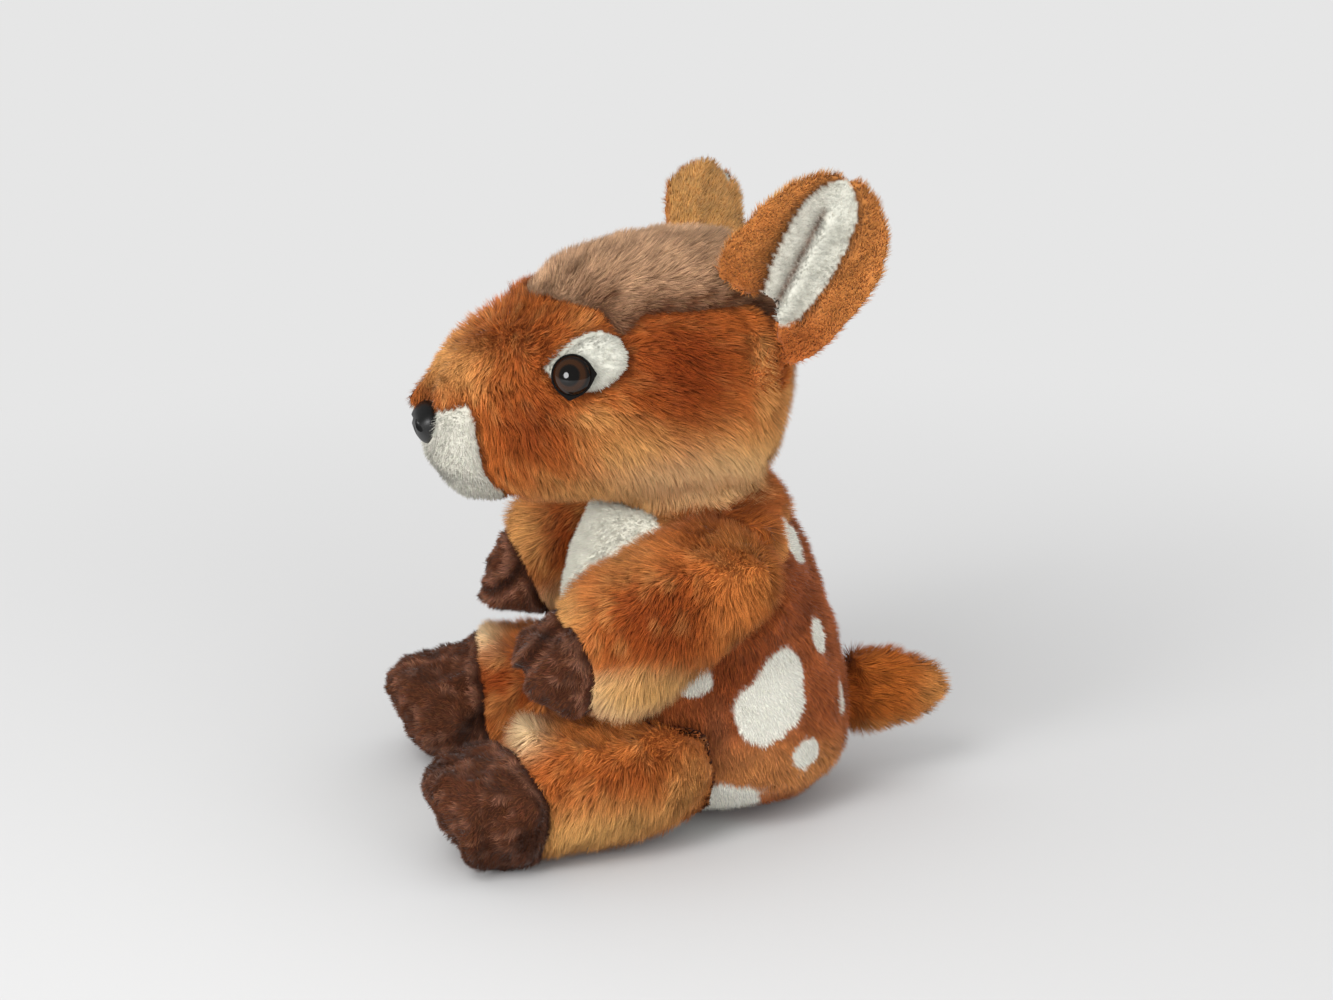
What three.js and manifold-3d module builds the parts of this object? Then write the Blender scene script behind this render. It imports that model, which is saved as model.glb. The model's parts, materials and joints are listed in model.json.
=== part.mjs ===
// A sitting plush fawn in millimetres. It faces -Y, its left side is +X, and +Z is up.
// The origin is the middle of the seat's flat base, on the surface that the fawn sits on.
// Every sewn panel is a skin of its own over the filling, so the toy comes apart as it was sewn.
import * as THREE from 'three';
import { mergeVertices } from 'three/addons/utils/BufferGeometryUtils.js';
import Module from 'manifold-3d';

const wasm = await Module();
wasm.setup();

// Cloth and clearances
const pile = 3; // backing and lying pile of the plush
const seam = 0.3; // gap between two sewn panels, and between a skin and its filling
const ease = 0.5; // gap between two parts of the toy that turn against each other
const overrun = 12; // how far a cutter reaches past what it cuts
const cutterSize = 450; // edge of a block that takes everything on one side of a plane
const seatCut = 0.5; // depth by which a soft underside is pressed flat

// Body
const bodyHeight = 112;
const bodyWidth = 88;
const bodyDepth = 92;
const bodyFootRound = 20;
const bodyTopRound = 30;
const pelletDepth = 20; // height of the pellet bag in the seat
const bellyWidth = 50;
const bellyFoot = 5;
const bellyTop = 102;
const shoulderSeamBack = 8; // the seam under the shoulders crosses the back here
const shoulderSeamHeight = 80;
const shoulderSeamSlope = 28; // degrees by which that seam drops towards the front

// Head
const neckHeight = 99;
const neckAhead = 2;
const headLength = 114;
const headWidth = 76;
const headHeight = 82;
const noseReach = 85; // from the neck to the front of the muzzle
const headSink = 2; // the underside of the head lies this far below the neck's middle
const muzzleRound = 13;
const headBackRound = 24;
const headTurnDegrees = 6; // the head looks a little to its left
const crownAhead = 52; // the crown panel's front point, in front of the neck
const crownBehind = 20;
const crownWidthShare = 0.834; // of the head's width
const muzzleLine = 35; // height of the white muzzle's upper seam above the neck
const muzzleBack = 57; // the white muzzle starts this far in front of the neck
const eyePatchLength = 25;
const eyePatchHeight = 17;
const eyePatchAhead = 44;
const eyePatchRise = 47.5;
const eyePatchSlope = 38;

// Eyes and nose
const eyeRadius = 6.2;
const eyeDome = 4.4;
const eyeAhead = 48;
const eyeRise = 45.5;
const noseWidth = 16;
const noseHeight = 13;
const noseDome = 4.2;
const noseRise = 27;
const noseTaper = 0.3; // how much narrower the nose is below than above
const nostrilRadius = 1.7;
const nostrilRiseShare = 0.92; // how far out a nostril's middle lies, in parts of the nose's dome
const shankRadius = 1.6;
const shankLength = 11;
const shankHold = 1.5; // how far the shank reaches up into the moulded front
const washerRadius = 6;
const washerThickness = 1.4;
const eyeWasherGap = 3; // from the cloth's inside to the washer's front face
const noseWasherGap = 4;

// Ears
const earLength = 63;
const earWidth = 41;
const earThickness = 6;
const earCup = 8;
const earTipRound = 19;
const earRootRound = 6;
const liningLength = 41;
const liningWidth = 14;
const liningStart = 15; // from the ear's root to the lining's lower end
const foldWidth = 1.6;
const foldDepth = 1.8;
const foldLengthShare = 0.385; // half the fold's length, in parts of the lining's
const foldRiseShare = 0.45; // where its middle lies along the lining
const earPivotDepth = 4; // the ear turns about a line this far inside its root

// Arms
const shoulderOut = 34;
const shoulderAhead = 0;
const shoulderHeight = 84;
const armReach = 62;
const armThickness = 41;
const armHoofBand = 15; // length of the front hoof along the arm
const armHoofRound = 11;
const armHoofDroop = 0.5; // how far it leans down, as a share of its length

// Legs
const hipOut = 28;
const hipAhead = 2;
const hipHeight = 25;
const legReach = 78;
const legThickness = 47;
const legHoofBand = 28;
const legHoofRound = 12;
const legHoofDroop = 0.02;

// Tail
const tailLength = 40;
const tailThickness = 30;
const tailRootBack = 38;
const tailRootHeight = 28;
const tailTipRound = 10;

// Hoof clefts
const cleftWidth = 2.6;
const cleftDepth = 7;
const cleftReachShare = 1.6; // half the cleft's length, in parts of the hoof's half height

// Turning ranges, in degrees
const headTurnRange = [-20, 20];
const armRange = [-20, 0];
const legRange = [-6, 20];
const earRange = [-12, 12];
const tailRange = [-20, 20];
const sweepStep = 10;

// Facets
const fine = { sides: 18, rings: 12 };
const medium = { sides: 14, rings: 8 };
const coarse = { sides: 9, rings: 6 };
const small = { sides: 8, rings: 5 };
const weldTolerance = 1e-4;
const outlineSteps = 28;

const up = new THREE.Vector3(0, 0, 1);
const across = new THREE.Vector3(1, 0, 0);
const forward = new THREE.Vector3(0, -1, 0);

// Solids and geometries

function solidOf(geometry) {
  const bare = geometry.clone();
  bare.deleteAttribute('normal');
  bare.deleteAttribute('uv');
  const merged = mergeVertices(bare, weldTolerance);
  return new wasm.Manifold(
    new wasm.Mesh({
      numProp: 3,
      vertProperties: merged.attributes.position.array,
      triVerts: new Uint32Array(merged.index.array),
    }),
  );
}

function geometryOf(solid) {
  const mesh = solid.getMesh();
  const geometry = new THREE.BufferGeometry();
  geometry.setAttribute('position', new THREE.BufferAttribute(mesh.vertProperties, 3));
  geometry.setIndex(new THREE.BufferAttribute(mesh.triVerts, 1));
  geometry.computeVertexNormals();
  return geometry;
}

function moved(solid, matrix) {
  return solid.transform(matrix.elements);
}

function joined(solids) {
  return solids.reduce((whole, solid) => whole.add(solid));
}

// Frames

function frameAt(position, turnDegrees = 0) {
  const matrix = new THREE.Matrix4().makeRotationZ(THREE.MathUtils.degToRad(turnDegrees));
  return matrix.setPosition(position);
}

function turnAbout(pivot, axis, angleDegrees) {
  const turn = new THREE.Matrix4().makeRotationAxis(axis, THREE.MathUtils.degToRad(angleDegrees));
  const there = new THREE.Matrix4().makeTranslation(pivot.x, pivot.y, pivot.z);
  const back = new THREE.Matrix4().makeTranslation(-pivot.x, -pivot.y, -pivot.z);
  return there.multiply(turn).multiply(back);
}

// A frame whose own +Z runs along one direction and whose +X leans towards another.
function frameAlong(position, direction, lean) {
  const z = direction.clone().normalize();
  const x = lean.clone().addScaledVector(z, -lean.dot(z)).normalize();
  const y = new THREE.Vector3().crossVectors(z, x);
  return new THREE.Matrix4().makeBasis(x, y, z).setPosition(position);
}

// What a neighbour fills, as seen from a piece that turns through a range about an axis.
function neighbourSwept(neighbour, pivot, axis, [from, to]) {
  const steps = Math.round((to - from) / sweepStep);
  const poses = Array.from({ length: steps + 1 }, (_, k) => from + ((to - from) * k) / steps);
  return joined(poses.map((angle) => moved(neighbour, turnAbout(pivot, axis, -angle))));
}

// Stuffed forms

function roundedEnd(distance, length, bluntness) {
  const short = THREE.MathUtils.clamp(1 - distance / length, 0, 1);
  return (1 - short ** bluntness) ** (1 / bluntness);
}

// Oval sections along a curve, which swell and taper from station to station and close in round ends.
// A station holds its place and its half sizes to the side, up and down. Grow moves the whole surface
// out, or in where it is negative. A cup lifts the section's two edges, as on an ear.
function stuffedForm(form, grow = 0, facets = coarse) {
  const spine = new THREE.CatmullRomCurve3(
    form.stations.map((s) => s.at),
    false,
    'catmullrom',
  );
  const swell = new THREE.CatmullRomCurve3(
    form.stations.map((s) => new THREE.Vector3(s.side, s.up, s.down)),
    false,
    'catmullrom',
  );
  const length = spine.getLength();
  const roundness = 2 / (form.fullness ?? 2);
  const positions = [];
  const addPoint = (p) => positions.push(p.x, p.y, p.z);

  const placeOn = (distance) => {
    const share = THREE.MathUtils.clamp(distance / length, 0, 1);
    const tangent = spine.getTangentAt(share);
    const point = spine.getPointAt(share).addScaledVector(tangent, distance - share * length);
    return { point, tangent, share };
  };

  addPoint(placeOn(-grow).point);
  for (let ring = 1; ring < facets.rings; ring += 1) {
    const reach = ((1 - Math.cos((Math.PI * ring) / facets.rings)) / 2) * (length + 2 * grow);
    const { point, tangent, share } = placeOn(reach - grow);
    const half = swell.getPoint(spine.getUtoTmapping(share));
    const shrink =
      roundedEnd(reach, form.roundStart + grow, form.bluntness ?? 2) *
      roundedEnd(length + 2 * grow - reach, form.roundEnd + grow, 2);
    const upward = form.facing.clone().addScaledVector(tangent, -form.facing.dot(tangent)).normalize();
    const sideward = new THREE.Vector3().crossVectors(upward, tangent);
    for (let side = 0; side < facets.sides; side += 1) {
      const angle = (2 * Math.PI * side) / facets.sides;
      const c = Math.cos(angle);
      const s = Math.sin(angle);
      const wide = Math.sign(c) * Math.abs(c) ** roundness * (half.x + grow) * shrink;
      const tall = Math.sign(s) * Math.abs(s) ** roundness * ((s > 0 ? half.y : half.z) + grow) * shrink;
      const edge = (form.cup ?? 0) * (wide / half.x) ** 2;
      addPoint(point.clone().addScaledVector(sideward, wide).addScaledVector(upward, tall + edge));
    }
  }
  addPoint(placeOn(length + grow).point);

  const index = [];
  const corner = (ring, side) => 1 + (ring - 1) * facets.sides + (side % facets.sides);
  const last = positions.length / 3 - 1;
  for (let side = 0; side < facets.sides; side += 1) {
    index.push(0, corner(1, side + 1), corner(1, side));
    for (let ring = 1; ring < facets.rings - 1; ring += 1) {
      const [a, b] = [corner(ring, side), corner(ring, side + 1)];
      const [c, d] = [corner(ring + 1, side + 1), corner(ring + 1, side)];
      index.push(a, b, c, a, c, d);
    }
    index.push(last, corner(facets.rings - 1, side), corner(facets.rings - 1, side + 1));
  }
  const geometry = new THREE.BufferGeometry();
  geometry.setAttribute('position', new THREE.Float32BufferAttribute(positions, 3));
  geometry.setIndex(index);
  return solidOf(geometry);
}

// Cutters

// Everything ahead of a plane, as a block.
function blockAhead(point, direction) {
  const block = new THREE.BoxGeometry(cutterSize, cutterSize, cutterSize);
  block.translate(0, 0, cutterSize / 2);
  const lean = Math.abs(direction.z) > Math.abs(direction.x) ? across : up;
  block.applyMatrix4(frameAlong(point, direction, lean));
  return solidOf(block);
}

// An outline moved outwards by the same distance all along.
function grownOutline(points, grow) {
  const turning = Math.sign(THREE.ShapeUtils.area(points));
  return points.map((point, k) => {
    const before = points.at(k - 1);
    const after = points[(k + 1) % points.length];
    const along = after.clone().sub(before).normalize();
    return new THREE.Vector2(along.y, -along.x).multiplyScalar(turning * grow).add(point);
  });
}

// A flat outline pushed along +Z of a frame, like a pattern piece cut out of the looks.
function patternCut(points, depth, frame, grow = 0) {
  const shape = new THREE.Shape(grownOutline(points, grow));
  const cut = new THREE.ExtrudeGeometry(shape, { depth, bevelEnabled: false, curveSegments: 1 });
  cut.applyMatrix4(frame);
  return solidOf(cut);
}

function smoothOutline(points, count = outlineSteps) {
  const flat = points.map(([x, y]) => new THREE.Vector3(x, y, 0));
  const curve = new THREE.CatmullRomCurve3(flat, true, 'centripetal');
  const spaced = curve.getSpacedPoints(count).slice(0, count);
  return spaced.map((p) => new THREE.Vector2(p.x, p.y));
}

// A closed outline from its right half. Rows are across in parts of the width, then along in parts of
// the length from where the outline starts.
function mirroredOutline(shares, width, start, length) {
  const half = shares.map(([wide, along]) => [wide * width, start + along * length]);
  const otherHalf = half.slice(1, -1).reverse().map(([x, y]) => [-x, y]);
  return smoothOutline([...half, ...otherHalf]);
}

// Outlines are drawn as seen from the left side: first forward, then up.
const seenFromLeft = new THREE.Matrix4().makeBasis(forward, up, across.clone().negate());
// As seen from above: first to the left, then forward.
const seenFromAbove = new THREE.Matrix4().makeBasis(across, forward, up.clone().negate());

// Skins and fillings

function skinOf(form, outerFacets, innerFacets) {
  return stuffedForm(form, 0, outerFacets).subtract(stuffedForm(form, -pile, innerFacets));
}

function fillingOf(form, facets) {
  return stuffedForm(form, -pile - seam, facets);
}

function leftAndRight(solid) {
  const edge = across.clone().multiplyScalar(seam / 2);
  return {
    left: solid.intersect(blockAhead(edge, across)),
    right: solid.intersect(blockAhead(edge.clone().negate(), across.clone().negate())),
  };
}

// Half of the belly panel's outline: across in parts of its width, then up in parts of its height.
const bellyShares = [
  [0, 0],
  [0.375, 0.12],
  [0.5, 0.4],
  [0.4, 0.75],
  [0, 1],
];

// Body: each row of shares is height, half width, half depth in front and half depth behind.
const bodyShares = [
  [0, 0.44, 0.43, 0.44],
  [0.12, 0.485, 0.475, 0.48],
  [0.33, 0.5, 0.5, 0.48],
  [0.56, 0.47, 0.485, 0.41],
  [0.78, 0.41, 0.43, 0.32],
  [1, 0.34, 0.37, 0.27],
];
const bodyForm = {
  stations: bodyShares.map(([height, side, front, back]) => ({
    at: new THREE.Vector3(0, 0, height * (bodyHeight + seatCut) - seatCut),
    side: side * bodyWidth,
    up: front * bodyDepth,
    down: back * bodyDepth,
  })),
  facing: forward,
  fullness: 2.15,
  bluntness: 2.8,
  roundStart: bodyFootRound,
  roundEnd: bodyTopRound,
};

// Head: its section runs from the muzzle to the back of the head, in a frame whose origin is the neck.
// Each row of shares is distance from the muzzle, height of the middle, half width, half height up and down.
const headShares = [
  [0, 0.285, 0.25, 0.335, 0.235],
  [0.1, 0.295, 0.255, 0.32, 0.262],
  [0.22, 0.345, 0.31, 0.37, 0.325],
  [0.35, 0.4, 0.415, 0.43, 0.39],
  [0.5, 0.455, 0.48, 0.5, 0.455],
  [0.66, 0.485, 0.5, 0.51, 0.485],
  [0.82, 0.494, 0.5, 0.495, 0.494],
  [1, 0.494, 0.48, 0.46, 0.494],
];
const headForm = {
  stations: headShares.map(([along, rise, side, top, bottom]) => ({
    at: new THREE.Vector3(0, along * headLength - noseReach, rise * headHeight - headSink),
    side: side * headWidth,
    up: top * headHeight,
    down: bottom * headHeight,
  })),
  facing: up,
  fullness: 2.15,
  roundStart: muzzleRound,
  roundEnd: headBackRound,
};

const neckPlace = new THREE.Vector3(0, -neckAhead, neckHeight);
const headFrame = frameAt(neckPlace, headTurnDegrees);

// The space that the head fills as it turns, in the toy's frame.
function headReach() {
  const grown = stuffedForm(headForm, ease, fine);
  return moved(neighbourSwept(grown, new THREE.Vector3(), up, headTurnRange), headFrame);
}

// Limbs: a sleeve that runs out of the trunk and a cloven hoof sewn to its end.
// Each row of shares is out, ahead and down from the joint in parts of the reach, then half the
// width and height above the middle, and the height below it, in parts of the limb's thickness.
const leftArmShares = [
  [-0.065, -0.18, -0.065, 0.4, 0.4],
  [0.08, 0.08, 0.015, 0.5, 0.5],
  [0.13, 0.355, 0.12, 0.5, 0.61],
  [0.13, 0.565, 0.215, 0.46, 0.6],
  [0.11, 0.725, 0.295, 0.42, 0.47],
  [0.1, 0.83, 0.35, 0.4, 0.42],
];
const rightArmShares = [
  [-0.065, -0.18, -0.065, 0.4, 0.4],
  [0.08, 0.08, 0, 0.5, 0.5],
  [0.13, 0.355, 0.09, 0.5, 0.59],
  [0.13, 0.55, 0.19, 0.46, 0.56],
  [0.11, 0.68, 0.29, 0.4, 0.44],
  [0.1, 0.76, 0.375, 0.37, 0.39],
];
const legShares = [
  [-0.03, 0.02, -0.03, 0.36, 0.36],
  [0.045, 0.17, -0.01, 0.45, 0.45],
  [0.1, 0.35, 0.005, 0.48, 0.49],
  [0.145, 0.55, 0.025, 0.46, 0.47],
  [0.165, 0.71, 0.04, 0.445, 0.455],
  [0.18, 0.82, 0.05, 0.42, 0.44],
];
// Each row of a hoof's shares is how far along it, in parts of its band, then half its width, its
// height above the middle and its height below it, in parts of the limb's thickness.
const armHoofShares = [
  [-0.5, 0.33, 0.33, 0.33],
  [0.2, 0.355, 0.355, 0.355],
  [0.7, 0.35, 0.35, 0.35],
  [1.25, 0.31, 0.31, 0.31],
];
const legHoofShares = [
  [-0.3, 0.42, 0.34, 0.42],
  [0.15, 0.46, 0.33, 0.46],
  [0.6, 0.455, 0.32, 0.45],
  [1.1, 0.42, 0.31, 0.34],
];

function limbForm(side, joint, reach, thickness, shares) {
  return {
    stations: shares.map(([out, ahead, down, half, below]) => ({
      at: new THREE.Vector3(side * (joint.x + out * reach), joint.y - ahead * reach, joint.z - down * reach),
      side: half * thickness,
      up: half * thickness,
      down: below * thickness,
    })),
    facing: up,
    roundStart: thickness / 4,
    roundEnd: thickness / 10,
  };
}

// The hoof carries on from the sleeve's end, leaning down by a share of its length.
function hoofForm(sleeve, { band, thickness, shares, round, droop }) {
  const [before, end] = sleeve.stations.slice(-2).map((station) => station.at);
  const direction = end.clone().sub(before).normalize();
  const seamPoint = end.clone().addScaledVector(direction, -sleeve.roundEnd);
  const lean = direction.clone().addScaledVector(up, -droop).normalize();
  return {
    seamPoint,
    direction,
    lean,
    stations: shares.map(([along, wide, above, below]) => ({
      at: seamPoint.clone().addScaledVector(along < 0 ? direction : lean, along * band),
      side: wide * thickness,
      up: above * thickness,
      down: below * thickness,
    })),
    facing: up,
    fullness: 2.3,
    roundStart: band / 4,
    roundEnd: round,
  };
}

// Two toes, with a cleft between them that keeps the cloth's thickness on the inside too.
function clovenHoof(form, grow, facets) {
  const tip = form.stations.at(-1);
  const blade = new THREE.SphereGeometry(1, small.sides, small.rings);
  blade.scale(tip.up * cleftReachShare, cleftWidth / 2 - grow, cleftDepth - grow);
  blade.applyMatrix4(frameAlong(tip.at, form.lean, up));
  return stuffedForm(form, grow, facets).subtract(solidOf(blade));
}

function limbPieces(sleeve, hoof, keepClear) {
  const backward = hoof.direction.clone().negate();
  const beforeSeam = hoof.seamPoint.clone().addScaledVector(hoof.direction, -ease);
  const afterSeam = hoof.seamPoint.clone().addScaledVector(hoof.direction, seam);
  const trim = (solid) => solid.subtract(keepClear);
  const sleeveSide = blockAhead(hoof.seamPoint, backward);
  const hoofInside = clovenHoof(hoof, -pile, coarse);
  const hoofSkin = clovenHoof(hoof, 0, medium).subtract(hoofInside);
  const hoofFilling = clovenHoof(hoof, -pile - seam, coarse).intersect(
    blockAhead(beforeSeam, hoof.direction),
  );
  return {
    sleeve: trim(skinOf(sleeve, medium, coarse).intersect(sleeveSide).subtract(hoofInside)),
    hoof: trim(hoofSkin.intersect(blockAhead(afterSeam, hoof.direction))),
    filling: trim(fillingOf(sleeve, coarse).intersect(sleeveSide).add(hoofFilling)),
  };
}

// Safety eyes and nose: a moulded front, a shank through the cloth and a washer behind it.

function surfaceSpot(form, from, towards) {
  const surface = new THREE.Mesh(geometryOf(stuffedForm(form, 0, fine)));
  const ray = new THREE.Raycaster(from, towards);
  surface.material.side = THREE.DoubleSide;
  const [hit] = ray.intersectObject(surface);
  return { point: hit.point, outward: hit.face.normal };
}

function shankSolid(frame, grow = 0) {
  const radius = shankRadius + grow;
  const shank = new THREE.CylinderGeometry(radius, radius, shankLength + 2 * grow, coarse.sides);
  shank.rotateX(Math.PI / 2);
  shank.translate(0, 0, shankHold - shankLength / 2);
  return solidOf(shank.applyMatrix4(frame));
}

function washerSolid(frame, depth, grow = 0) {
  const disc = new THREE.CylinderGeometry(
    washerRadius + grow,
    washerRadius + grow,
    washerThickness + 2 * grow,
    medium.sides,
  );
  disc.rotateX(Math.PI / 2);
  disc.translate(0, 0, -depth - washerThickness / 2);
  return solidOf(disc.applyMatrix4(frame));
}

function eyeDomeSolid(frame) {
  const dome = new THREE.SphereGeometry(eyeRadius, medium.sides, medium.rings);
  dome.rotateX(Math.PI / 2);
  dome.scale(1, 1, eyeDome / eyeRadius);
  return solidOf(dome.applyMatrix4(frame));
}

function noseDomeSolid(frame) {
  const dome = new THREE.SphereGeometry(1, coarse.sides, coarse.rings);
  const place = dome.attributes.position;
  for (let k = 0; k < place.count; k += 1) {
    const narrow = 1 + noseTaper * place.getY(k);
    place.setXYZ(
      k,
      (place.getX(k) * narrow * noseWidth) / 2,
      (place.getY(k) * noseHeight) / 2,
      place.getZ(k) * noseDome,
    );
  }
  let nose = solidOf(dome.applyMatrix4(frame));
  for (const side of [-1, 1]) {
    const nostril = new THREE.SphereGeometry(nostrilRadius, small.sides, small.rings);
    nostril.translate((side * noseWidth) / 4, 0, noseDome * nostrilRiseShare);
    nose = nose.subtract(solidOf(nostril.applyMatrix4(frame)));
  }
  return nose;
}

// The moulded front fits the cloth and carries the shank as one piece.
function safetyPiece(dome, frame, clothOutside) {
  return dome.subtract(clothOutside).add(shankSolid(frame));
}

// Ears: an outer panel with a pocket in front for the white lining, in a frame that runs along the ear.
// Each row of shares is how far along the ear, then half its width and how far the middle lies towards
// the front of the head, in parts of the ear's width.
const earShares = [
  [0, 0.27, 0.02],
  [0.22, 0.41, 0.06],
  [0.47, 0.48, 0.04],
  [0.72, 0.5, 0.01],
  [1, 0.4, 0],
];
// Half of the lining's outline: across in parts of its width, then along in parts of its length.
const liningShares = [
  [0, 0],
  [0.36, 0.18],
  [0.5, 0.48],
  [0.4, 0.8],
  [0, 1],
];

function earForm(side, front, behind) {
  return {
    stations: earShares.map(([along, half, ahead]) => ({
      at: new THREE.Vector3(0, -side * ahead * earWidth, along * earLength),
      side: half * earWidth,
      up: front,
      down: behind,
    })),
    facing: across,
    cup: earCup,
    fullness: 2.2,
    roundStart: earRootRound,
    roundEnd: earTipRound,
  };
}

function earPieces(side, frame, keepClear) {
  const half = earThickness / 2;
  const outline = mirroredOutline(liningShares, liningWidth, liningStart, liningLength);
  const facingUs = new THREE.Matrix4().makeBasis(forward, up, across.clone().negate());
  facingUs.setPosition(across.clone().multiplyScalar(earCup + overrun));
  const depth = earCup + 2 * overrun - half;
  const pocket = stuffedForm(earForm(side, half + ease, -seam), 0, medium);
  const front = stuffedForm(earForm(side, half, -2 * seam), 0, medium);
  const fold = new THREE.SphereGeometry(1, small.sides, small.rings);
  fold.scale(foldDepth, foldWidth / 2, liningLength * foldLengthShare);
  fold.translate(half, 0, liningStart + liningLength * foldRiseShare);
  const outer = stuffedForm(earForm(side, half, half), 0, medium);
  const whole = outer.subtract(pocket.intersect(patternCut(outline, depth, facingUs, seam)));
  const lining = front.intersect(patternCut(outline, depth, facingUs)).subtract(solidOf(fold));
  return {
    outer: moved(whole, frame).subtract(keepClear),
    lining: moved(lining, frame).subtract(keepClear),
  };
}

// Left and right ears aren't alike, because the fawn holds them unevenly. Each root lies out from the
// neck, behind it and above it. The ear then runs along one direction, and its hollow faces another.
const leftEar = {
  side: 1,
  out: 29,
  behind: 11,
  rise: 45.5,
  along: new THREE.Vector3(0.27, 0.35, 0.895),
  facing: new THREE.Vector3(0.9, -0.5, 0),
};
const rightEar = {
  side: -1,
  out: -29,
  behind: 17,
  rise: 41,
  along: new THREE.Vector3(-0.77, 0.25, 0.59),
  facing: new THREE.Vector3(-0.581, -0.649, -0.47),
};

// Colours, as seen in the photograph
const looks = {
  rust: [0x86502f, 0.92],
  crown: [0xad8464, 0.92],
  back: [0x743d23, 0.95],
  white: [0xd6d1c2, 0.95],
  chest: [0xc8c5b4, 0.95],
  hoof: [0x60392a, 0.95],
  ear: [0xb9864b, 0.92],
  filling: [0xf1efe8, 1],
  pellets: [0xd8d4c6, 0.9],
  tail: [0x904622, 0.92],
  eye: [0x1c0f0a, 0.12],
  nose: [0x15120f, 0.25],
  washer: [0xe6e6e2, 0.5],
};

const part = new THREE.Group();
part.name = 'plush_fawn';

function addPiece(name, solid, [color, roughness]) {
  const material = new THREE.MeshStandardMaterial({ color, roughness, metalness: 0 });
  const mesh = new THREE.Mesh(geometryOf(solid), material);
  mesh.name = name;
  part.add(mesh);
}

const floor = blockAhead(new THREE.Vector3(), up.clone().negate());

function addBody() {
  const clear = headReach();
  const trim = (solid) => solid.subtract(clear).subtract(floor);
  const skin = trim(skinOf(bodyForm, medium, coarse));
  const bellyOutline = mirroredOutline(bellyShares, bellyWidth, bellyFoot, bellyTop - bellyFoot);
  const seenFromFront = new THREE.Matrix4().makeBasis(across, up, forward);
  const bellyCut = (grow) => patternCut(bellyOutline, bodyDepth, seenFromFront, grow);
  const besideBelly = skin.subtract(bellyCut(seam));
  const slope = THREE.MathUtils.degToRad(shoulderSeamSlope);
  const shoulderward = new THREE.Vector3(0, -Math.sin(slope), Math.cos(slope));
  const seamSpot = new THREE.Vector3(0, shoulderSeamBack, shoulderSeamHeight);
  const seamGap = seamSpot.clone().addScaledVector(shoulderward, seam);
  const shoulderSide = blockAhead(seamGap, shoulderward);
  const backSide = blockAhead(seamSpot, shoulderward.clone().negate());
  addPiece('belly_panel', skin.intersect(bellyCut(0)), looks.chest);
  addPiece('shoulder_panel', besideBelly.intersect(shoulderSide), looks.rust);
  addPiece('back_panel', besideBelly.intersect(backSide), looks.back);

  const filling = fillingOf(bodyForm, coarse).subtract(clear);
  const bagTop = new THREE.Vector3(0, 0, pelletDepth);
  const above = blockAhead(bagTop.clone().addScaledVector(up, seam), up);
  const below = blockAhead(bagTop, up.clone().negate());
  addPiece('body_stuffing', filling.intersect(above), looks.filling);
  addPiece('pellet_bag', filling.intersect(below), looks.pellets);
}

// Pattern cuts of the head, in the head's own frame.

// Half of the crown's outline from behind to in front: across in parts of its width, along in parts of
// its length.
const crownShares = [
  [0, 0.005],
  [0.225, 0.015],
  [0.45, 0.14],
  [0.475, 0.28],
  [0.475, 0.53],
  [0.5, 0.665],
  [0.405, 0.78],
  [0.305, 0.89],
  [0, 1],
];
// The muzzle's rear seam from top to bottom: ahead in parts of where it starts, up in parts of its line.
const muzzleShares = [
  [1.3, 1],
  [1.22, 0.62],
  [1.1, 0.2],
];
// The eye patch, along and across in parts of its length and its half height.
const eyePatchShares = [
  [-0.3, 0],
  [-0.2, -0.8],
  [0.1, -0.9],
  [0.4, -0.4],
  [0.6, 0],
  [0.35, 0.7],
  [0, 1],
  [-0.25, 0.7],
];

function crownCut(grow) {
  const run = crownAhead + crownBehind;
  const outline = mirroredOutline(crownShares, headWidth * crownWidthShare, -crownBehind, run);
  const frame = seenFromAbove.clone().setPosition(0, 0, headHeight + overrun);
  return patternCut(outline, headHeight / 2 + overrun, frame, grow);
}

function muzzleCut(grow) {
  const front = noseReach + overrun;
  const below = -headSink - overrun;
  const seamLine = muzzleShares.map(([ahead, rise]) => [muzzleBack * ahead, muzzleLine * rise]);
  const outline = [
    [front, muzzleLine - seam],
    ...seamLine,
    [muzzleBack, below],
    [front, below],
  ].map(([ahead, rise]) => new THREE.Vector2(ahead, rise));
  const frame = seenFromLeft.clone().setPosition(headWidth, 0, 0);
  return patternCut(outline, 2 * headWidth, frame, grow);
}

function eyePatchCut(side, grow) {
  const half = eyePatchHeight / 2;
  const outline = smoothOutline(
    eyePatchShares.map(([along, rise]) => [along * eyePatchLength, rise * half]),
  );
  const slope = THREE.MathUtils.degToRad(180 - eyePatchSlope);
  const frame = seenFromLeft.clone().multiply(new THREE.Matrix4().makeRotationZ(slope));
  frame.setPosition(side > 0 ? headWidth : -half, -eyePatchAhead, eyePatchRise);
  return patternCut(outline, headWidth - half, frame, grow);
}

// The two eyes and the nose, each with the frame of the spot where it sits on the looks.
function safetyPieces() {
  const eyes = ['left', 'right'].map((name) => {
    const side = name === 'left' ? 1 : -1;
    const beside = new THREE.Vector3(side * headWidth, -eyeAhead, eyeRise);
    const { point, outward } = surfaceSpot(headForm, beside, across.clone().multiplyScalar(-side));
    const frame = frameAlong(point, outward, up);
    return {
      name: `eye_${name}`,
      frame,
      dome: eyeDomeSolid(frame),
      depth: pile + eyeWasherGap,
      look: looks.eye,
    };
  });
  const before = new THREE.Vector3(0, -noseReach - overrun, noseRise);
  const { point } = surfaceSpot(headForm, before, forward.clone().negate());
  const frame = frameAlong(point, forward, across);
  const nose = {
    name: 'nose',
    frame,
    dome: noseDomeSolid(frame),
    depth: pile + noseWasherGap,
    look: looks.nose,
  };
  return [...eyes, nose];
}

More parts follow.
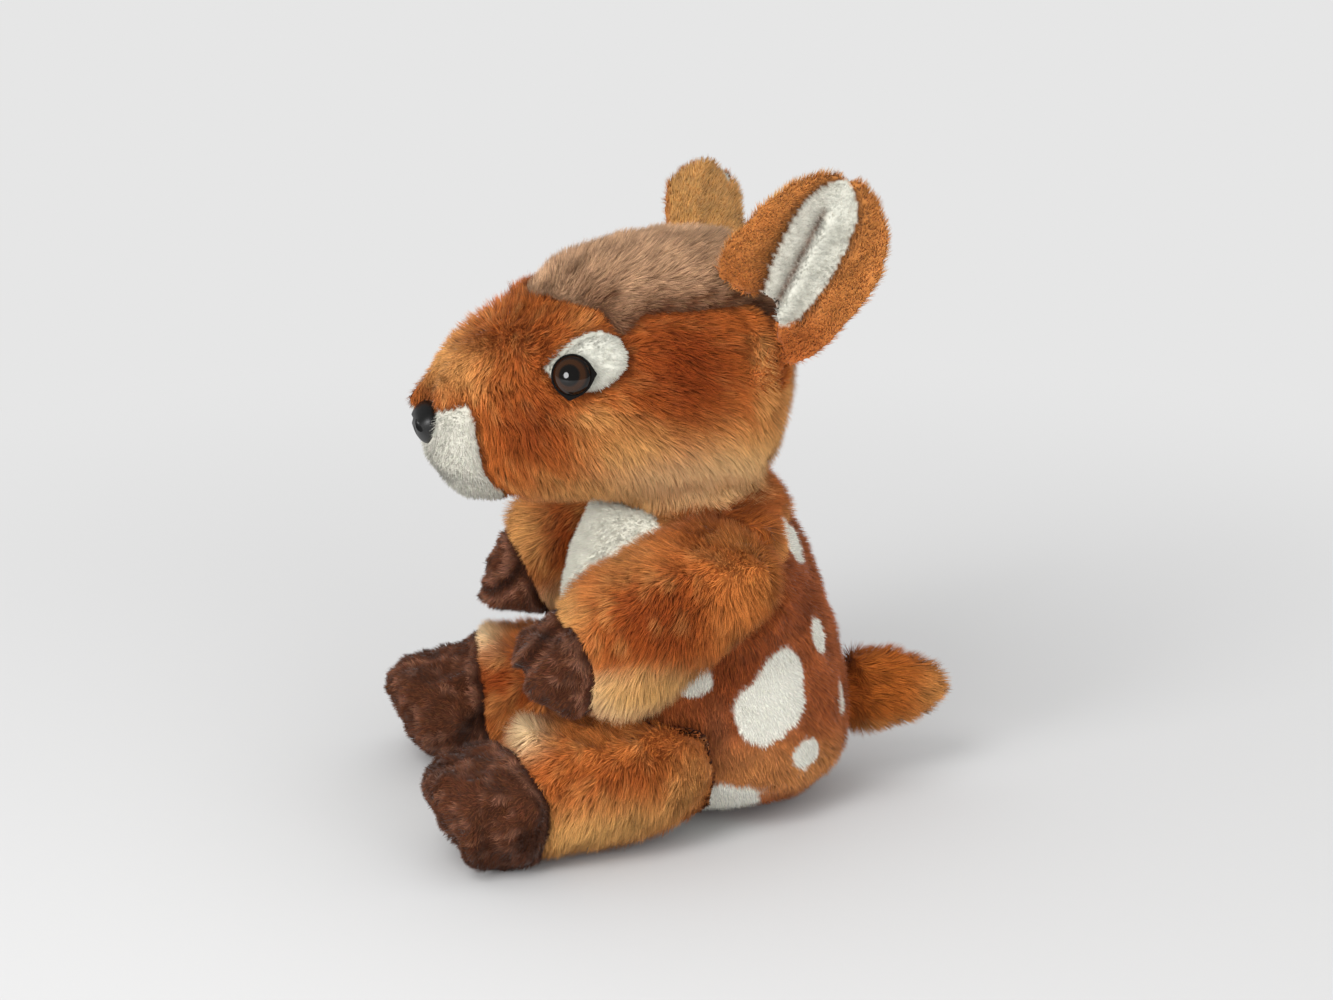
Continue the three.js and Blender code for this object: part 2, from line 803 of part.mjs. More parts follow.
function addHead() {
  const toToy = (solid) => moved(solid, headFrame);
  const safety = safetyPieces();
  const shankHoles = joined(safety.map(({ frame }) => shankSolid(frame, seam)));
  const washerHoles = joined(safety.map(({ frame, depth }) => washerSolid(frame, depth, seam)));
  const skin = skinOf(headForm, fine, medium).subtract(shankHoles);
  const cuts = [crownCut, muzzleCut, (grow) => eyePatchCut(1, grow), (grow) => eyePatchCut(-1, grow)];
  const sides = leftAndRight(cuts.reduce((rest, cut) => rest.subtract(cut(seam)), skin));
  const belowCrown = skin.subtract(crownCut(seam));
  addPiece('head_side_left', toToy(sides.left), looks.rust);
  addPiece('head_side_right', toToy(sides.right), looks.rust);
  addPiece('crown_panel', toToy(skin.intersect(crownCut(0))), looks.crown);
  addPiece('muzzle_panel', toToy(skin.intersect(muzzleCut(0))), looks.white);
  addPiece('eye_patch_left', toToy(belowCrown.intersect(eyePatchCut(1, 0))), looks.white);
  addPiece('eye_patch_right', toToy(belowCrown.intersect(eyePatchCut(-1, 0))), looks.white);
  const filling = fillingOf(headForm, medium).subtract(shankHoles).subtract(washerHoles);
  addPiece('head_stuffing', toToy(filling), looks.filling);

  const clothOutside = stuffedForm(headForm, seam, fine);
  for (const { name, frame, dome, depth, look } of safety) {
    const washer = washerSolid(frame, depth).subtract(shankSolid(frame, seam));
    addPiece(name, toToy(safetyPiece(dome, frame, clothOutside)), look);
    addPiece(`${name}_washer`, toToy(washer), looks.washer);
  }
}

function addEars() {
  const head = stuffedForm(headForm, ease, fine);
  for (const [name, ear] of [['left', leftEar], ['right', rightEar]]) {
    const root = new THREE.Vector3(ear.out, ear.behind, ear.rise);
    const frame = frameAlong(root, ear.along, ear.facing);
    const pivot = root.clone().addScaledVector(ear.along, -earPivotDepth);
    const clear = neighbourSwept(head, pivot, forward, earRange);
    const pieces = earPieces(ear.side, frame, clear);
    addPiece(`ear_${name}`, moved(pieces.outer, headFrame), looks.ear);
    addPiece(`ear_lining_${name}`, moved(pieces.lining, headFrame), looks.white);
  }
}

function addLimbs() {
  const body = stuffedForm(bodyForm, ease, medium);
  const head = headReach();
  const shoulder = new THREE.Vector3(shoulderOut, -shoulderAhead, shoulderHeight);
  const hip = new THREE.Vector3(hipOut, -hipAhead, hipHeight);
  for (const [name, side] of [['left', 1], ['right', -1]]) {
    const armShares = side > 0 ? leftArmShares : rightArmShares;
    const arm = limbForm(side, shoulder, armReach, armThickness, armShares);
    const armHoof = hoofForm(arm, {
      band: armHoofBand,
      thickness: armThickness,
      shares: armHoofShares,
      round: armHoofRound,
      droop: armHoofDroop,
    });
    const leg = limbForm(side, hip, legReach, legThickness, legShares);
    const legHoof = hoofForm(leg, {
      band: legHoofBand,
      thickness: legThickness,
      shares: legHoofShares,
      round: legHoofRound,
      droop: legHoofDroop,
    });
    const shoulderHere = new THREE.Vector3(side * shoulder.x, shoulder.y, shoulder.z);
    const hipHere = new THREE.Vector3(side * hip.x, hip.y, hip.z);
    const trunk = body.add(head);
    const armClear = neighbourSwept(trunk, shoulderHere, across, armRange);
    const hipAxis = up.clone().multiplyScalar(side);
    const legClear = neighbourSwept(body, hipHere, hipAxis, legRange).add(floor);
    const armParts = limbPieces(arm, armHoof, armClear);
    const legParts = limbPieces(leg, legHoof, legClear);
    addPiece(`arm_${name}`, armParts.sleeve, looks.rust);
    addPiece(`arm_hoof_${name}`, armParts.hoof, looks.hoof);
    addPiece(`arm_stuffing_${name}`, armParts.filling, looks.filling);
    addPiece(`leg_${name}`, legParts.sleeve, looks.rust);
    addPiece(`leg_hoof_${name}`, legParts.hoof, looks.hoof);
    addPiece(`leg_stuffing_${name}`, legParts.filling, looks.filling);
  }
}

// Tail: a flat wedge with a full root, pointing back and a little down.
const tailShares = [
  [-0.3, 0.04, 0.3, 0.44],
  [0.1, 0.04, 0.36, 0.5],
  [0.45, 0.03, 0.34, 0.47],
  [0.75, 0.02, 0.26, 0.37],
  [1, 0, 0.16, 0.22],
];

function addTail() {
  const form = {
    stations: tailShares.map(([back, rise, wide, tall]) => ({
      at: new THREE.Vector3(0, tailRootBack + back * tailLength, tailRootHeight + rise * tailLength),
      side: wide * tailThickness,
      up: tall * tailThickness,
      down: tall * tailThickness,
    })),
    facing: up,
    roundStart: tailThickness / 6,
    roundEnd: tailTipRound,
  };
  const pivot = new THREE.Vector3(0, tailRootBack, tailRootHeight);
  const clear = neighbourSwept(stuffedForm(bodyForm, ease, medium), pivot, up, tailRange);
  addPiece('tail', skinOf(form, medium, small).subtract(clear), looks.tail);
  addPiece('tail_stuffing', fillingOf(form, small).subtract(clear), looks.filling);
}

addBody();
addHead();
addEars();
addLimbs();
addTail();

export default part;
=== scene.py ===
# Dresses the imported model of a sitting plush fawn: stuffed cloth forms, plush pile, moulded eyes and nose.
# It faces -Y, its own left side is +X and +Z is up. Places and lengths in the tables are millimetres.
import json
import math
from collections import namedtuple
from contextlib import contextmanager

import bmesh
import bpy
import numpy as np
from bpy.props import FloatProperty, FloatVectorProperty, IntProperty, PointerProperty
from mathutils import Matrix, Vector
from mathutils.bvhtree import BVHTree
from mathutils.kdtree import KDTree


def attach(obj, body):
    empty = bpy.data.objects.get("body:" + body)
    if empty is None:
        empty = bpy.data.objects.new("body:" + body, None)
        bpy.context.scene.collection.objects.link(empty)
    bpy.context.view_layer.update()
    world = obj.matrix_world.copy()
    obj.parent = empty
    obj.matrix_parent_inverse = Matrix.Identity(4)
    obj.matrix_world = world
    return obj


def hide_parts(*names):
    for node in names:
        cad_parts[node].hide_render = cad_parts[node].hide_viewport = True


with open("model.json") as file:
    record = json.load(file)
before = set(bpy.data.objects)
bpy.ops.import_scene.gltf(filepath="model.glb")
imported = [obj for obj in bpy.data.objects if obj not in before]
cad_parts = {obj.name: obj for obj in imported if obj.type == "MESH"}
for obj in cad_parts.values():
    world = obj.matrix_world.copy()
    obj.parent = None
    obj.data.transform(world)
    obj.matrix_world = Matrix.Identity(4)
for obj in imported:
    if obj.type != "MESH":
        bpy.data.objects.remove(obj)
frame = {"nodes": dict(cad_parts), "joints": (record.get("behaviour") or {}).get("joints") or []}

bl_info = {
    "name": "Plush Fawn",
    "version": (1, 0, 0),
    "blender": (4, 5, 0),
    "location": "3D View > Sidebar > Fawn",
    "description": "Stuffs and dresses a sitting plush fawn, one piece at a time",
    "category": "Add Mesh",
}

MM = 0.001
TAU = 2 * math.pi
SIDES = {"left": 1, "right": -1}


def joint_place(name):
    """A joint's place in the frame, in millimetres."""
    joint = next(row for row in frame["joints"] if row["name"] == name)
    return tuple(round(value / MM, 3) for value in joint["pos_m"])


# The head's own frame: its origin is the neck, and it looks a little to the fawn's left.
NECK = np.array(joint_place("neck_turn"))
HEAD_TURN = math.radians(6)


# Settings


def linear(shade):
    """A colour as the screen shows it, written as 0xRRGGBB, in the linear numbers that Blender wants."""
    parts = [(shade >> shift & 255) / 255 for shift in (16, 8, 0)]
    return [p / 12.92 if p <= 0.04045 else ((p + 0.055) / 1.055) ** 2.4 for p in parts]


def dye(name, shade, description):
    return FloatVectorProperty(
        name=name, description=description, subtype="COLOR", size=3, min=0, max=1, default=linear(shade)
    )


def length(name, size, description):
    return FloatProperty(name=name, description=description, unit="LENGTH", default=size * MM, min=0)


def power(name, watts, description):
    return FloatProperty(name=name, description=description, unit="POWER", default=watts, min=0)


def factor(name, default, description, lowest=0, highest=100):
    return FloatProperty(name=name, description=description, default=default, min=lowest, max=highest)


# Colours of the pile, the cloth and the moulded parts. Some of them are painted light or shade, as the
# comments below say.
class FawnDyes(bpy.types.PropertyGroup):
    rust: dye("Rust", 0xB5622C, "Fur of the head, shoulders, arms and legs")
    # Deep rust is the fur's own darker colour, and also painted shade under the head, in the crease above
    # each leg and on the limbs' inner sides, which face the trunk.
    deep_rust: dye("Deep rust", 0x7E3411, "Middle of the cheeks and of each sewn panel")
    # Painted light: amber brightens fur that faces away from the lamps or lies in the arms' shade: the
    # shoulders behind the arms, the arms' upper ends and the legs' tops.
    amber: dye("Amber", 0xDB8542, "Lit fur of the arms' upper ends and of the legs' tops")
    gold: dye("Gold", 0xDDA663, "Brushed fur along the jaw, the seams and the limbs' undersides")
    cream: dye("Cream", 0xF0D3A4, "Palest tips along the top and bottom edges of the limbs")
    taupe: dye("Taupe", 0xD0A580, "Pile on top of the head")
    # Umber is the crown's own dark strands, and also painted shade in the crease above each leg and in the
    # fold of each ear's lining.
    umber: dye("Umber", 0x6B452F, "Dark strands of the crown and the creases between panels")
    chestnut: dye("Chestnut", 0xA85B31, "Short pile of the back")
    dark_chestnut: dye("Dark chestnut", 0x7E3A19, "Patches of the back")
    spot: dye("Spot white", 0xEFEDE0, "Spots of the back")
    felt: dye("Felt white", 0xC8C7BB, "Eye patches and ear linings")
    muzzle: dye("Muzzle white", 0xC3C0B3, "Short pile of the muzzle")
    chest: dye("Chest white", 0xDBD8C8, "Pile of the belly and chest")
    hoof: dye("Hoof brown", 0x56301D, "Pile of the hooves")
    # The hoof highlight is the pile's worn mottling, and also a painted highlight along the edges beside the
    # seams and the cleft.
    hoof_light: dye("Hoof highlight", 0x966650, "Worn tips of the hooves' pile")
    ear: dye("Ear gold", 0xCB9552, "Pile on the back and the rim of the ears")
    tail: dye("Tail rust", 0xAA5C24, "Pile of the tail")
    # Painted shade: seam brown darkens the seams, the crease before each ear and the groove between the lobes
    # over the nose.
    thread: dye("Seam brown", 0x3A1D10, "Shadowed backing cloth that shows along the seams")
    iris: dye("Iris", 0x2E1A0C, "Ring round the pupil")
    eye_black: dye("Eye black", 0x0B0908, "Pupil and outer rim of the eyes")
    nose_black: dye("Nose black", 0x121010, "Moulded nose")
    washer: dye("Washer", 0xE6E6E2, "Locking washers inside the head")


class FawnPile(bpy.types.PropertyGroup):
    coat_length: length("Coat", 5.6, "Length of the long pile of the head, shoulders and limbs")
    crown_length: length("Crown", 4.6, "Length of the pile on top of the head")
    tail_length: length("Tail", 5.2, "Length of the tail's pile")
    ear_length: length("Ears", 3.0, "Length of the pile on the ears")
    back_length: length("Back", 3.3, "Length of the back's short pile")
    velvet_length: length("Velvet", 1.9, "Length of the white pile of the muzzle and eye patches")
    hoof_length: length("Hooves", 2.3, "Length of the hooves' pile")
    strand_width: length("Strand width", 0.4, "Width of a tuft of the long pile")
    density: factor("Density", 1, "Tufts on each square of pile, as a factor of the usual number", 0.05, 2)
    tangle: factor("Tangle", 1, "How unevenly the pile lies, as a factor of the usual unevenness", 0, 3)


class FawnStuffing(bpy.types.PropertyGroup):
    voxel: length("Cloth mesh", 2.6, "Size of the squares that a stuffed form is first meshed with")
    ear_voxel: length("Ear mesh", 1.1, "Size of the squares of the thin ears")
    swell: length("Swell", 1.6, "Furthest that the filling may push the cloth out")
    pressure: factor("Pressure", 4, "Pressure of the filling while the cloth settles", 0, 20)
    frames: IntProperty(
        name="Frames", description="Frames that the cloth is given to settle", default=20, min=1, max=100
    )
    seam_pull: length("Seam pull", 0.9, "Depth by which a seam draws the cloth in")


class FawnFace(bpy.types.PropertyGroup):
    eye_radius: length("Eye radius", 5.9, "Half the width of a moulded eye")
    eye_dome: length("Eye dome", 4.4, "Height of a moulded eye above the cloth")
    rim_width: length("Eye rim", 0.25, "Width of the dark felt round an eye")
    rim_corner: length("Rim corner", 1.2, "Reach of the two pointed corners of the felt")
    nose_width: length("Nose width", 15, "Width of the moulded nose")
    nose_height: length("Nose height", 12.5, "Height of the moulded nose")
    nose_dome: length("Nose dome", 4.4, "Depth of the moulded nose")
    nostril: length("Nostril", 1.9, "Radius of a nostril")


class FawnStage(bpy.types.PropertyGroup):
    floor: dye("Floor", 0xC5C5C5, "Plain floor")
    backdrop: dye("Backdrop", 0xE6E6E6, "Plain background")
    floor_radius: length("Floor radius", 2500, "Radius of the floor")
    key: power("Key light", 5.5, "Power of the main lamp")
    fill: power("Fill light", 6, "Power of the second lamp")
    front: power("Front light", 8, "Power of the small lamp before the face, which glints in the eye")
    sky: factor("Sky", 1.0, "Strength of the even light all round")
    mirrored: factor("Mirrored sky", 0.3, "Strength of the surroundings as the eyes and the nose mirror them")


class FawnSettings(bpy.types.PropertyGroup):
    dyes: PointerProperty(type=FawnDyes)
    pile: PointerProperty(type=FawnPile)
    stuffing: PointerProperty(type=FawnStuffing)
    face: PointerProperty(type=FawnFace)
    stage: PointerProperty(type=FawnStage)


def settings():
    return bpy.context.scene.plush_fawn


def dye_of(name):
    return np.array(getattr(settings().dyes, name)[:])


# Meshes as arrays


def rows_of(items, word, width, kind=float):
    """One property of a mesh's points, edges or faces, as rows of numbers."""
    flat = np.empty(len(items) * width, dtype=kind)
    items.foreach_get(word, flat)
    return flat.reshape(-1, width)


def points_of(mesh):
    return rows_of(mesh.vertices, "co", 3)


def normals_of(mesh):
    return rows_of(mesh.vertices, "normal", 3)


def edges_of(mesh):
    return rows_of(mesh.edges, "vertices", 2, np.int64)


def place_points(mesh, points):
    mesh.vertices.foreach_set("co", np.asarray(points, dtype=np.float32).ravel())
    mesh.update()


def unit(vectors):
    return vectors / np.maximum(np.linalg.norm(vectors, axis=-1, keepdims=True), 1e-9)


def evened(values, edges, rounds):
    """Each value drawn to the mean of its neighbours, over and over."""
    count = np.bincount(edges.ravel(), minlength=len(values))
    shape = (-1,) + (1,) * (values.ndim - 1)
    for _ in range(rounds):
        total = np.zeros_like(values)
        np.add.at(total, edges[:, 0], values[edges[:, 1]])
        np.add.at(total, edges[:, 1], values[edges[:, 0]])
        values = 0.5 * values + 0.5 * total / np.maximum(count, 1).reshape(shape)
    return values


def rounded_over(mesh, rounds):
    """Takes the facets off a form and keeps its volume: what smoothing shrinks is given back evenly."""
    edges = edges_of(mesh)
    before = points_of(mesh)
    after = evened(before, edges, rounds)
    place_points(mesh, after + evened(before - after, edges, rounds))


def ripple(points, size, seed):
    """Soft waves in space, about -1 to 1, of roughly this size."""
    rng = np.random.default_rng(seed)
    total = np.zeros(len(points))
    waves = 7
    for _ in range(waves):
        direction = unit(rng.normal(size=3))
        frequency = TAU / size * rng.uniform(0.55, 1.4)
        total += np.sin(points @ direction * frequency + rng.uniform(0, TAU))
    return total / math.sqrt(waves)


def step_up(values, low, high):
    share = np.clip((values - low) / (high - low), 0, 1)
    return share * share * (3 - 2 * share)


def hill(values, middle, width):
    """1 at the middle, and soft to 0 on both sides."""
    return np.exp(-(((values - middle) / width) ** 2))


def off_place(points, place, spread):
    """How far each point is from a place, squared, in shares of the spread."""
    return (((points - np.array(place)) / np.array(spread)) ** 2).sum(1)


def swung(vectors, turn):
    """Turns vectors about the upright axis."""
    c, s = math.cos(turn), math.sin(turn)
    x, y, z = vectors.T
    return np.stack([c * x - s * y, c * y + s * x, z], 1)


def to_head(points):
    """Millimetres in the toy's frame, seen from the head's own frame."""
    return swung(points - NECK, -HEAD_TURN)


def from_head(vectors):
    return swung(vectors, HEAD_TURN)


# Ear frames, in the head's frame: root, direction to the tip, and the way the hollow faces.
EARS = {
    "left": ((29, 11, 45.5), (0.27, 0.35, 0.895), (0.9, -0.5, 0)),
    "right": ((-29, 17, 41), (-0.77, 0.25, 0.59), (-0.581, -0.649, -0.47)),
}
# For each lining: its middle across the ear, its width as a share, and its fold.
LINING_SET = {"left": (-2.6, 1.25, -4.4), "right": (2.2, 1.1, 3)}
# Where an ear's front begins: places across it, and how far out of the hollow there.
LINING_DEPTH = ((0, 1.5, 3, 6, 9, 12, 15, 18), (-0.4, 0.2, 0.8, 1.1, 2.0, 3.0, 4.5, 6.2))
# The lining's half width at places along the ear.
LINING = ((13, 2.5), (18, 5.2), (28, 6.6), (42, 7.0), (50, 6.4), (55, 5), (59, 2.6), (60.5, 0))


def ear_axes(side):
    """An ear's root, and the ways out of its hollow, across it, and along it from root to tip."""
    root, along, facing = (np.array(v, float) for v in EARS[side])
    z = unit(along)
    x = unit(facing - z * (facing @ z))
    return root, (x, np.cross(z, x), z)


def to_ear(points, side):
    root, axes = ear_axes(side)
    return (to_head(points) - root) @ np.stack(axes, 1)


def from_ear(vectors, side):
    return from_head(vectors @ np.stack(ear_axes(side)[1]))


def lining_half(seen, beyond):
    """The lining's half width at each point of an ear, with one value past its ends."""
    stops, widths = zip(*LINING, strict=True)
    return np.interp(seen[:, 2], stops, widths, left=beyond, right=beyond)


# Stuffed forms


def select_only(*pieces):
    bpy.ops.object.select_all(action="DESELECT")
    for piece in pieces:
        piece.select_set(True)
    bpy.context.view_layer.objects.active = pieces[0]


def fresh(add, name, **words):
    """Adds a primitive with nothing else selected."""
    bpy.ops.object.select_all(action="DESELECT")
    add(**words)
    piece = bpy.context.object
    piece.name = piece.data.name = name
    return piece


@contextmanager
def edit_mode():
    bpy.ops.object.mode_set(mode="EDIT")
    yield
    bpy.ops.object.mode_set(mode="OBJECT")


@contextmanager
def opened(data):
    """A mesh in its editable form, written back at the end."""
    mesh = bmesh.new()
    mesh.from_mesh(data)
    yield mesh
    mesh.to_mesh(data)
    mesh.free()


def settle_in_mesh():
    bpy.ops.object.transform_apply(location=True, rotation=True, scale=True)


def finish_modifiers(piece):
    select_only(piece)
    for modifier in list(piece.modifiers):
        bpy.ops.object.modifier_apply(modifier=modifier.name)


def copied_node(name, node):
    """A copy of a node's mesh with its loose triangles sewn together."""
    piece = bpy.data.objects.new(name, frame["nodes"][node].data.copy())
    bpy.context.scene.collection.objects.link(piece)
    with opened(piece.data) as mesh:
        bmesh.ops.remove_doubles(mesh, verts=mesh.verts, dist=MM / 1000)
    return piece


def largest_shell(piece):
    """Drops what the meshing leaves inside a form."""
    with opened(piece.data) as mesh:
        left = set(mesh.verts)
        shells = []
        while left:
            seed = left.pop()
            shell, border = {seed}, [seed]
            while border:
                beside = {vert for edge in border.pop().link_edges for vert in edge.verts} & left
                left -= beside
                shell |= beside
                border += beside
            shells.append(shell)
        shells.sort(key=len)
        bmesh.ops.delete(mesh, geom=[v for shell in shells[:-1] for v in shell], context="VERTS")


def sewn_form(name, nodes, plugs, voxel):
    """One closed cloth form over several nodes, with round plugs where it turns in its neighbour."""
    members = [copied_node(name, node) for node in nodes]
    for centre, radii in plugs:
        plug = fresh(
            bpy.ops.mesh.primitive_uv_sphere_add, "plug", segments=32, ring_count=16, radius=MM
        )
        plug.scale = radii
        plug.location = Vector(centre) * MM
        settle_in_mesh()
        members.append(plug)
    select_only(*members)
    bpy.ops.object.join()
    form = bpy.context.object
    form.name = form.data.name = name
    form.data.materials.clear()
    remesh = form.modifiers.new("Cloth mesh", "REMESH")
    remesh.mode = "VOXEL"
    remesh.voxel_size = voxel
    finish_modifiers(form)
    largest_shell(form)
    for attribute in [a.name for a in form.data.attributes if not a.is_required]:
        form.data.attributes.remove(form.data.attributes[attribute])
    return form


def stuffed(form, held):
    """Lets the filling press the cloth out between its seams, which stay where they are."""
    fill = settings().stuffing
    scene = bpy.context.scene
    before = points_of(form.data)
    group = form.vertex_groups.new(name="Seams")
    group.add([int(k) for k in np.flatnonzero(held)], 1, "REPLACE")
    cloth = form.modifiers.new("Filling", "CLOTH")
    cloth.settings.use_pressure = True
    cloth.settings.uniform_pressure_force = fill.pressure
    cloth.settings.effector_weights.gravity = 0
    cloth.settings.vertex_group_mass = "Seams"
    cloth.collision_settings.use_collision = False
    cloth.point_cache.frame_start = 1
    cloth.point_cache.frame_end = fill.frames
    for number in range(1, fill.frames + 1):
        scene.frame_set(number)
    settled = form.evaluated_get(bpy.context.evaluated_depsgraph_get()).to_mesh()
    push = points_of(settled) - before
    far = np.linalg.norm(push, axis=1, keepdims=True)
    push *= np.minimum(1, fill.swell / np.maximum(far, 1e-9))
    form.modifiers.remove(cloth)
    form.vertex_groups.remove(group)
    scene.frame_set(1)
    place_points(form.data, before + evened(push, edges_of(form.data), 2))


def panel_finder(panels):
    corners, faces, owners = [], [], []
    for number, panel in enumerate(panels):
        mesh = frame["nodes"][panel].data
        start = len(corners)
        corners += [v.co.copy() for v in mesh.vertices]
        faces += [[start + v for v in face.vertices] for face in mesh.polygons]
        owners += [number] * len(mesh.polygons)
    return BVHTree.FromPolygons(corners, faces), np.array(owners)


PROBE_WAY = Vector((0.11, 0.07, 1)).normalized()  # leans, so that it runs along no edge of a form


class Form:
    """A stuffed form with what its pile has to know: its panels, its seams and its surface."""

    def __init__(self, name, panels, piece, relabel=None, folds=None):
        self.name = name
        self.folds = folds
        self.panels = list(panels)
        self.piece = piece
        self.relabel = relabel
        self.finder, self.owners = panel_finder(panels)

    def panels_at(self, points):
        """The number of the panel that each point, in metres, lies on."""
        found = [self.finder.find_nearest(Vector(p))[2] for p in points]
        numbers = self.owners[found]
        if self.relabel:
            numbers = self.relabel(points / MM, numbers, self.panels)
        return numbers

    def mark_seams(self):
        mesh = self.piece.data
        points = points_of(mesh)
        edges = edges_of(mesh)
        self.numbers = self.panels_at(points)
        ends = self.numbers[edges]
        parted = ends[:, 0] != ends[:, 1]
        if self.folds:
            sides = self.folds(points / MM, self.numbers)[edges]
            parted |= sides[:, 0] * sides[:, 1] < 0
        crossing = edges[parted]
        middles = (points[crossing[:, 0]] + points[crossing[:, 1]]) / 2
        self.seams = KDTree(max(len(middles), 1))
        for number, middle in enumerate(middles):
            self.seams.insert(middle, number)
        if not len(middles):
            self.seams.insert((0, 0, 10), 0)
        self.seams.balance()

    def seam_distance(self, points):
        """Millimetres from each point to the nearest seam."""
        return np.array([self.seams.find(Vector(p))[2] for p in points]) / MM

    def buries(self, points, depth):
        """Which points, in metres, lie deeper than this many millimetres inside the form."""
        mesh = self.piece.data
        corners = points_of(mesh)
        tree = BVHTree.FromPolygons(corners.tolist(), [list(f.vertices) for f in mesh.polygons])
        up = PROBE_WAY
        boxed = ((points > corners.min(0)) & (points < corners.max(0))).all(1)
        buried = np.zeros(len(points), dtype=bool)
        for k in np.flatnonzero(boxed):
            point = Vector(points[k])
            if tree.find_nearest(point)[3] < depth * MM:
                continue
            hit = tree.ray_cast(point, up)[0]
            while hit:
                buried[k] = not buried[k]
                hit = tree.ray_cast(hit + up * MM / 1000, up)[0]
        return buried


FORMS = {}

Pile = namedtuple("Pile", "length width per_mm2 lie sink stray clump round root tip")


def piles():
    """How each kind of pile stands: sizes in millimetres, angles in degrees."""
    pile = settings().pile
    wide = pile.strand_width / MM
    rows = {
        "coat": (pile.coat_length, 0.75, 5.2, 44, 2.9, 15, 0.3, 0.8, 0.6, 1.24),
        "crown": (pile.crown_length, 0.7, 5.6, 38, 2.4, 12, 0.3, 0.8, 0.6, 1.2),
        "tail": (pile.tail_length, 0.8, 4.6, 40, 2.4, 14, 0.3, 0.8, 0.64, 1.2),
        "ear": (pile.ear_length, 0.75, 4.4, 38, 1.4, 12, 0.25, 3.0, 0.78, 1.16),
        "back": (pile.back_length, 0.8, 3.0, 42, 1.7, 15, 0.25, 0.7, 0.66, 1.18),
        "velvet": (pile.velvet_length, 0.8, 4.1, 50, 1.0, 14, 0.1, 0.3, 0.95, 1.01),
        "hoof": (pile.hoof_length, 0.9, 4.1, 32, 1.0, 40, 0.4, 0.8, 0.5, 1.3),
    }
    return {
        kind: Pile(row[0] / MM, row[1] * wide, row[2] * pile.density, *row[3:])
        for kind, row in rows.items()
    }


KIND_OF_PANEL = {
    "crown_panel": "crown",
    "muzzle_panel": "velvet",
    "belly_panel": "velvet",
    "shoulder_panel": "coat",
    "back_panel": "back",
    "tail": "tail",
}
for side in SIDES:
    KIND_OF_PANEL |= {f"{panel}_{side}": "coat" for panel in ("head_side", "arm", "leg")}
    KIND_OF_PANEL |= {f"{panel}_{side}": "hoof" for panel in ("arm_hoof", "leg_hoof")}
    KIND_OF_PANEL |= {f"{panel}_{side}": "velvet" for panel in ("eye_patch", "ear_lining")}
    KIND_OF_PANEL[f"ear_{side}"] = "ear"


def of_panels(form, values):
    """One value for each panel of a form, from a table by kind of pile."""
    return np.array([values(piles()[KIND_OF_PANEL[panel]]) for panel in form.panels])


def pushed(form, pushes, seen=lambda points: points, unseen=lambda vectors: vectors):
    """Hand-shaping: each push is a place, the spread of the hand, and how far the cloth goes."""
    mesh = form.piece.data
    points = points_of(mesh)
    here = seen(points / MM)
    moves = np.zeros_like(points)
    for place, spread, way in pushes:
        moves += np.exp(-off_place(here, place, spread))[:, None] * np.array(way, float)
    place_points(mesh, points + unseen(moves) * MM)


SEAM_WIDTH = 1.8  # how wide a seam draws the cloth in
HELD_SQUARES = 1.1  # the cloth is held this near a seam while it swells, in squares of its mesh
THIN_ROUNDS, STUFFED_ROUNDS = (6, 3), (5, 10)  # rounds of smoothing before and after a form swells


def shaped_form(name, nodes, panels, plugs, relabel=None, folds=None, swell=True, thin=False):
    """A form from its nodes: meshed, swollen between its seams, and rounded."""
    fill = settings().stuffing
    piece = sewn_form(name, nodes, plugs, fill.ear_voxel if thin else fill.voxel)
    form = Form(name, panels, piece, relabel, folds)
    first_rounds, last_rounds = THIN_ROUNDS if thin else STUFFED_ROUNDS
    rounded_over(piece.data, first_rounds)
    if swell:
        form.mark_seams()
        near = form.seam_distance(points_of(piece.data)) < HELD_SQUARES * fill.voxel / MM
        stuffed(piece, near)
    if not thin:
        select_only(piece)
        piece.modifiers.new("Finer cloth", "SUBSURF").levels = 1
        piece.modifiers["Finer cloth"].render_levels = 1
        finish_modifiers(piece)
    rounded_over(piece.data, last_rounds)
    form.mark_seams()
    return form


def drawn_in(form, share=1.0):
    """Leaves room for the pile, and pulls the seams in. Thin cloth takes only a share of it."""
    mesh = form.piece.data
    points = points_of(mesh)
    sink = of_panels(form, lambda pile: pile.sink)[form.numbers]
    sink = evened(sink, edges_of(mesh), 4)
    sink = sink + hill(form.seam_distance(points), 0, SEAM_WIDTH) * settings().stuffing.seam_pull / MM
    place_points(mesh, points - normals_of(mesh) * sink[:, None] * share * MM)
    rounded_over(mesh, 1)
    form.mark_seams()


# Pile


def rooted(form, rng, thin_out=None):
    """Where the tufts of a form stand: places in metres, normals and panel numbers."""
    mesh = form.piece.data
    mesh.calc_loop_triangles()
    corners = rows_of(mesh.loop_triangles, "vertices", 3, np.int64)
    points, normals = points_of(mesh), normals_of(mesh)
    a, b, c = (points[corners[:, k]] for k in range(3))
    area = np.linalg.norm(np.cross(b - a, c - a), axis=1) / 2 / MM**2
    density = of_panels(form, lambda pile: pile.per_mm2)[form.numbers[corners[:, 0]]]
    if thin_out is not None:
        density = density * thin_out((a + b + c) / 3 / MM)
    expected = area * density
    count = int(expected.sum())
    chosen = rng.choice(len(corners), count, p=expected / expected.sum())
    root_u = np.sqrt(rng.random(count))
    v = rng.random(count)
    shares = np.stack([1 - root_u, root_u * (1 - v), root_u * v], 1)
    places = (points[corners[chosen]] * shares[:, :, None]).sum(1)
    outward = unit((normals[corners[chosen]] * shares[:, :, None]).sum(1))
    return places, outward, form.panels_at(places)


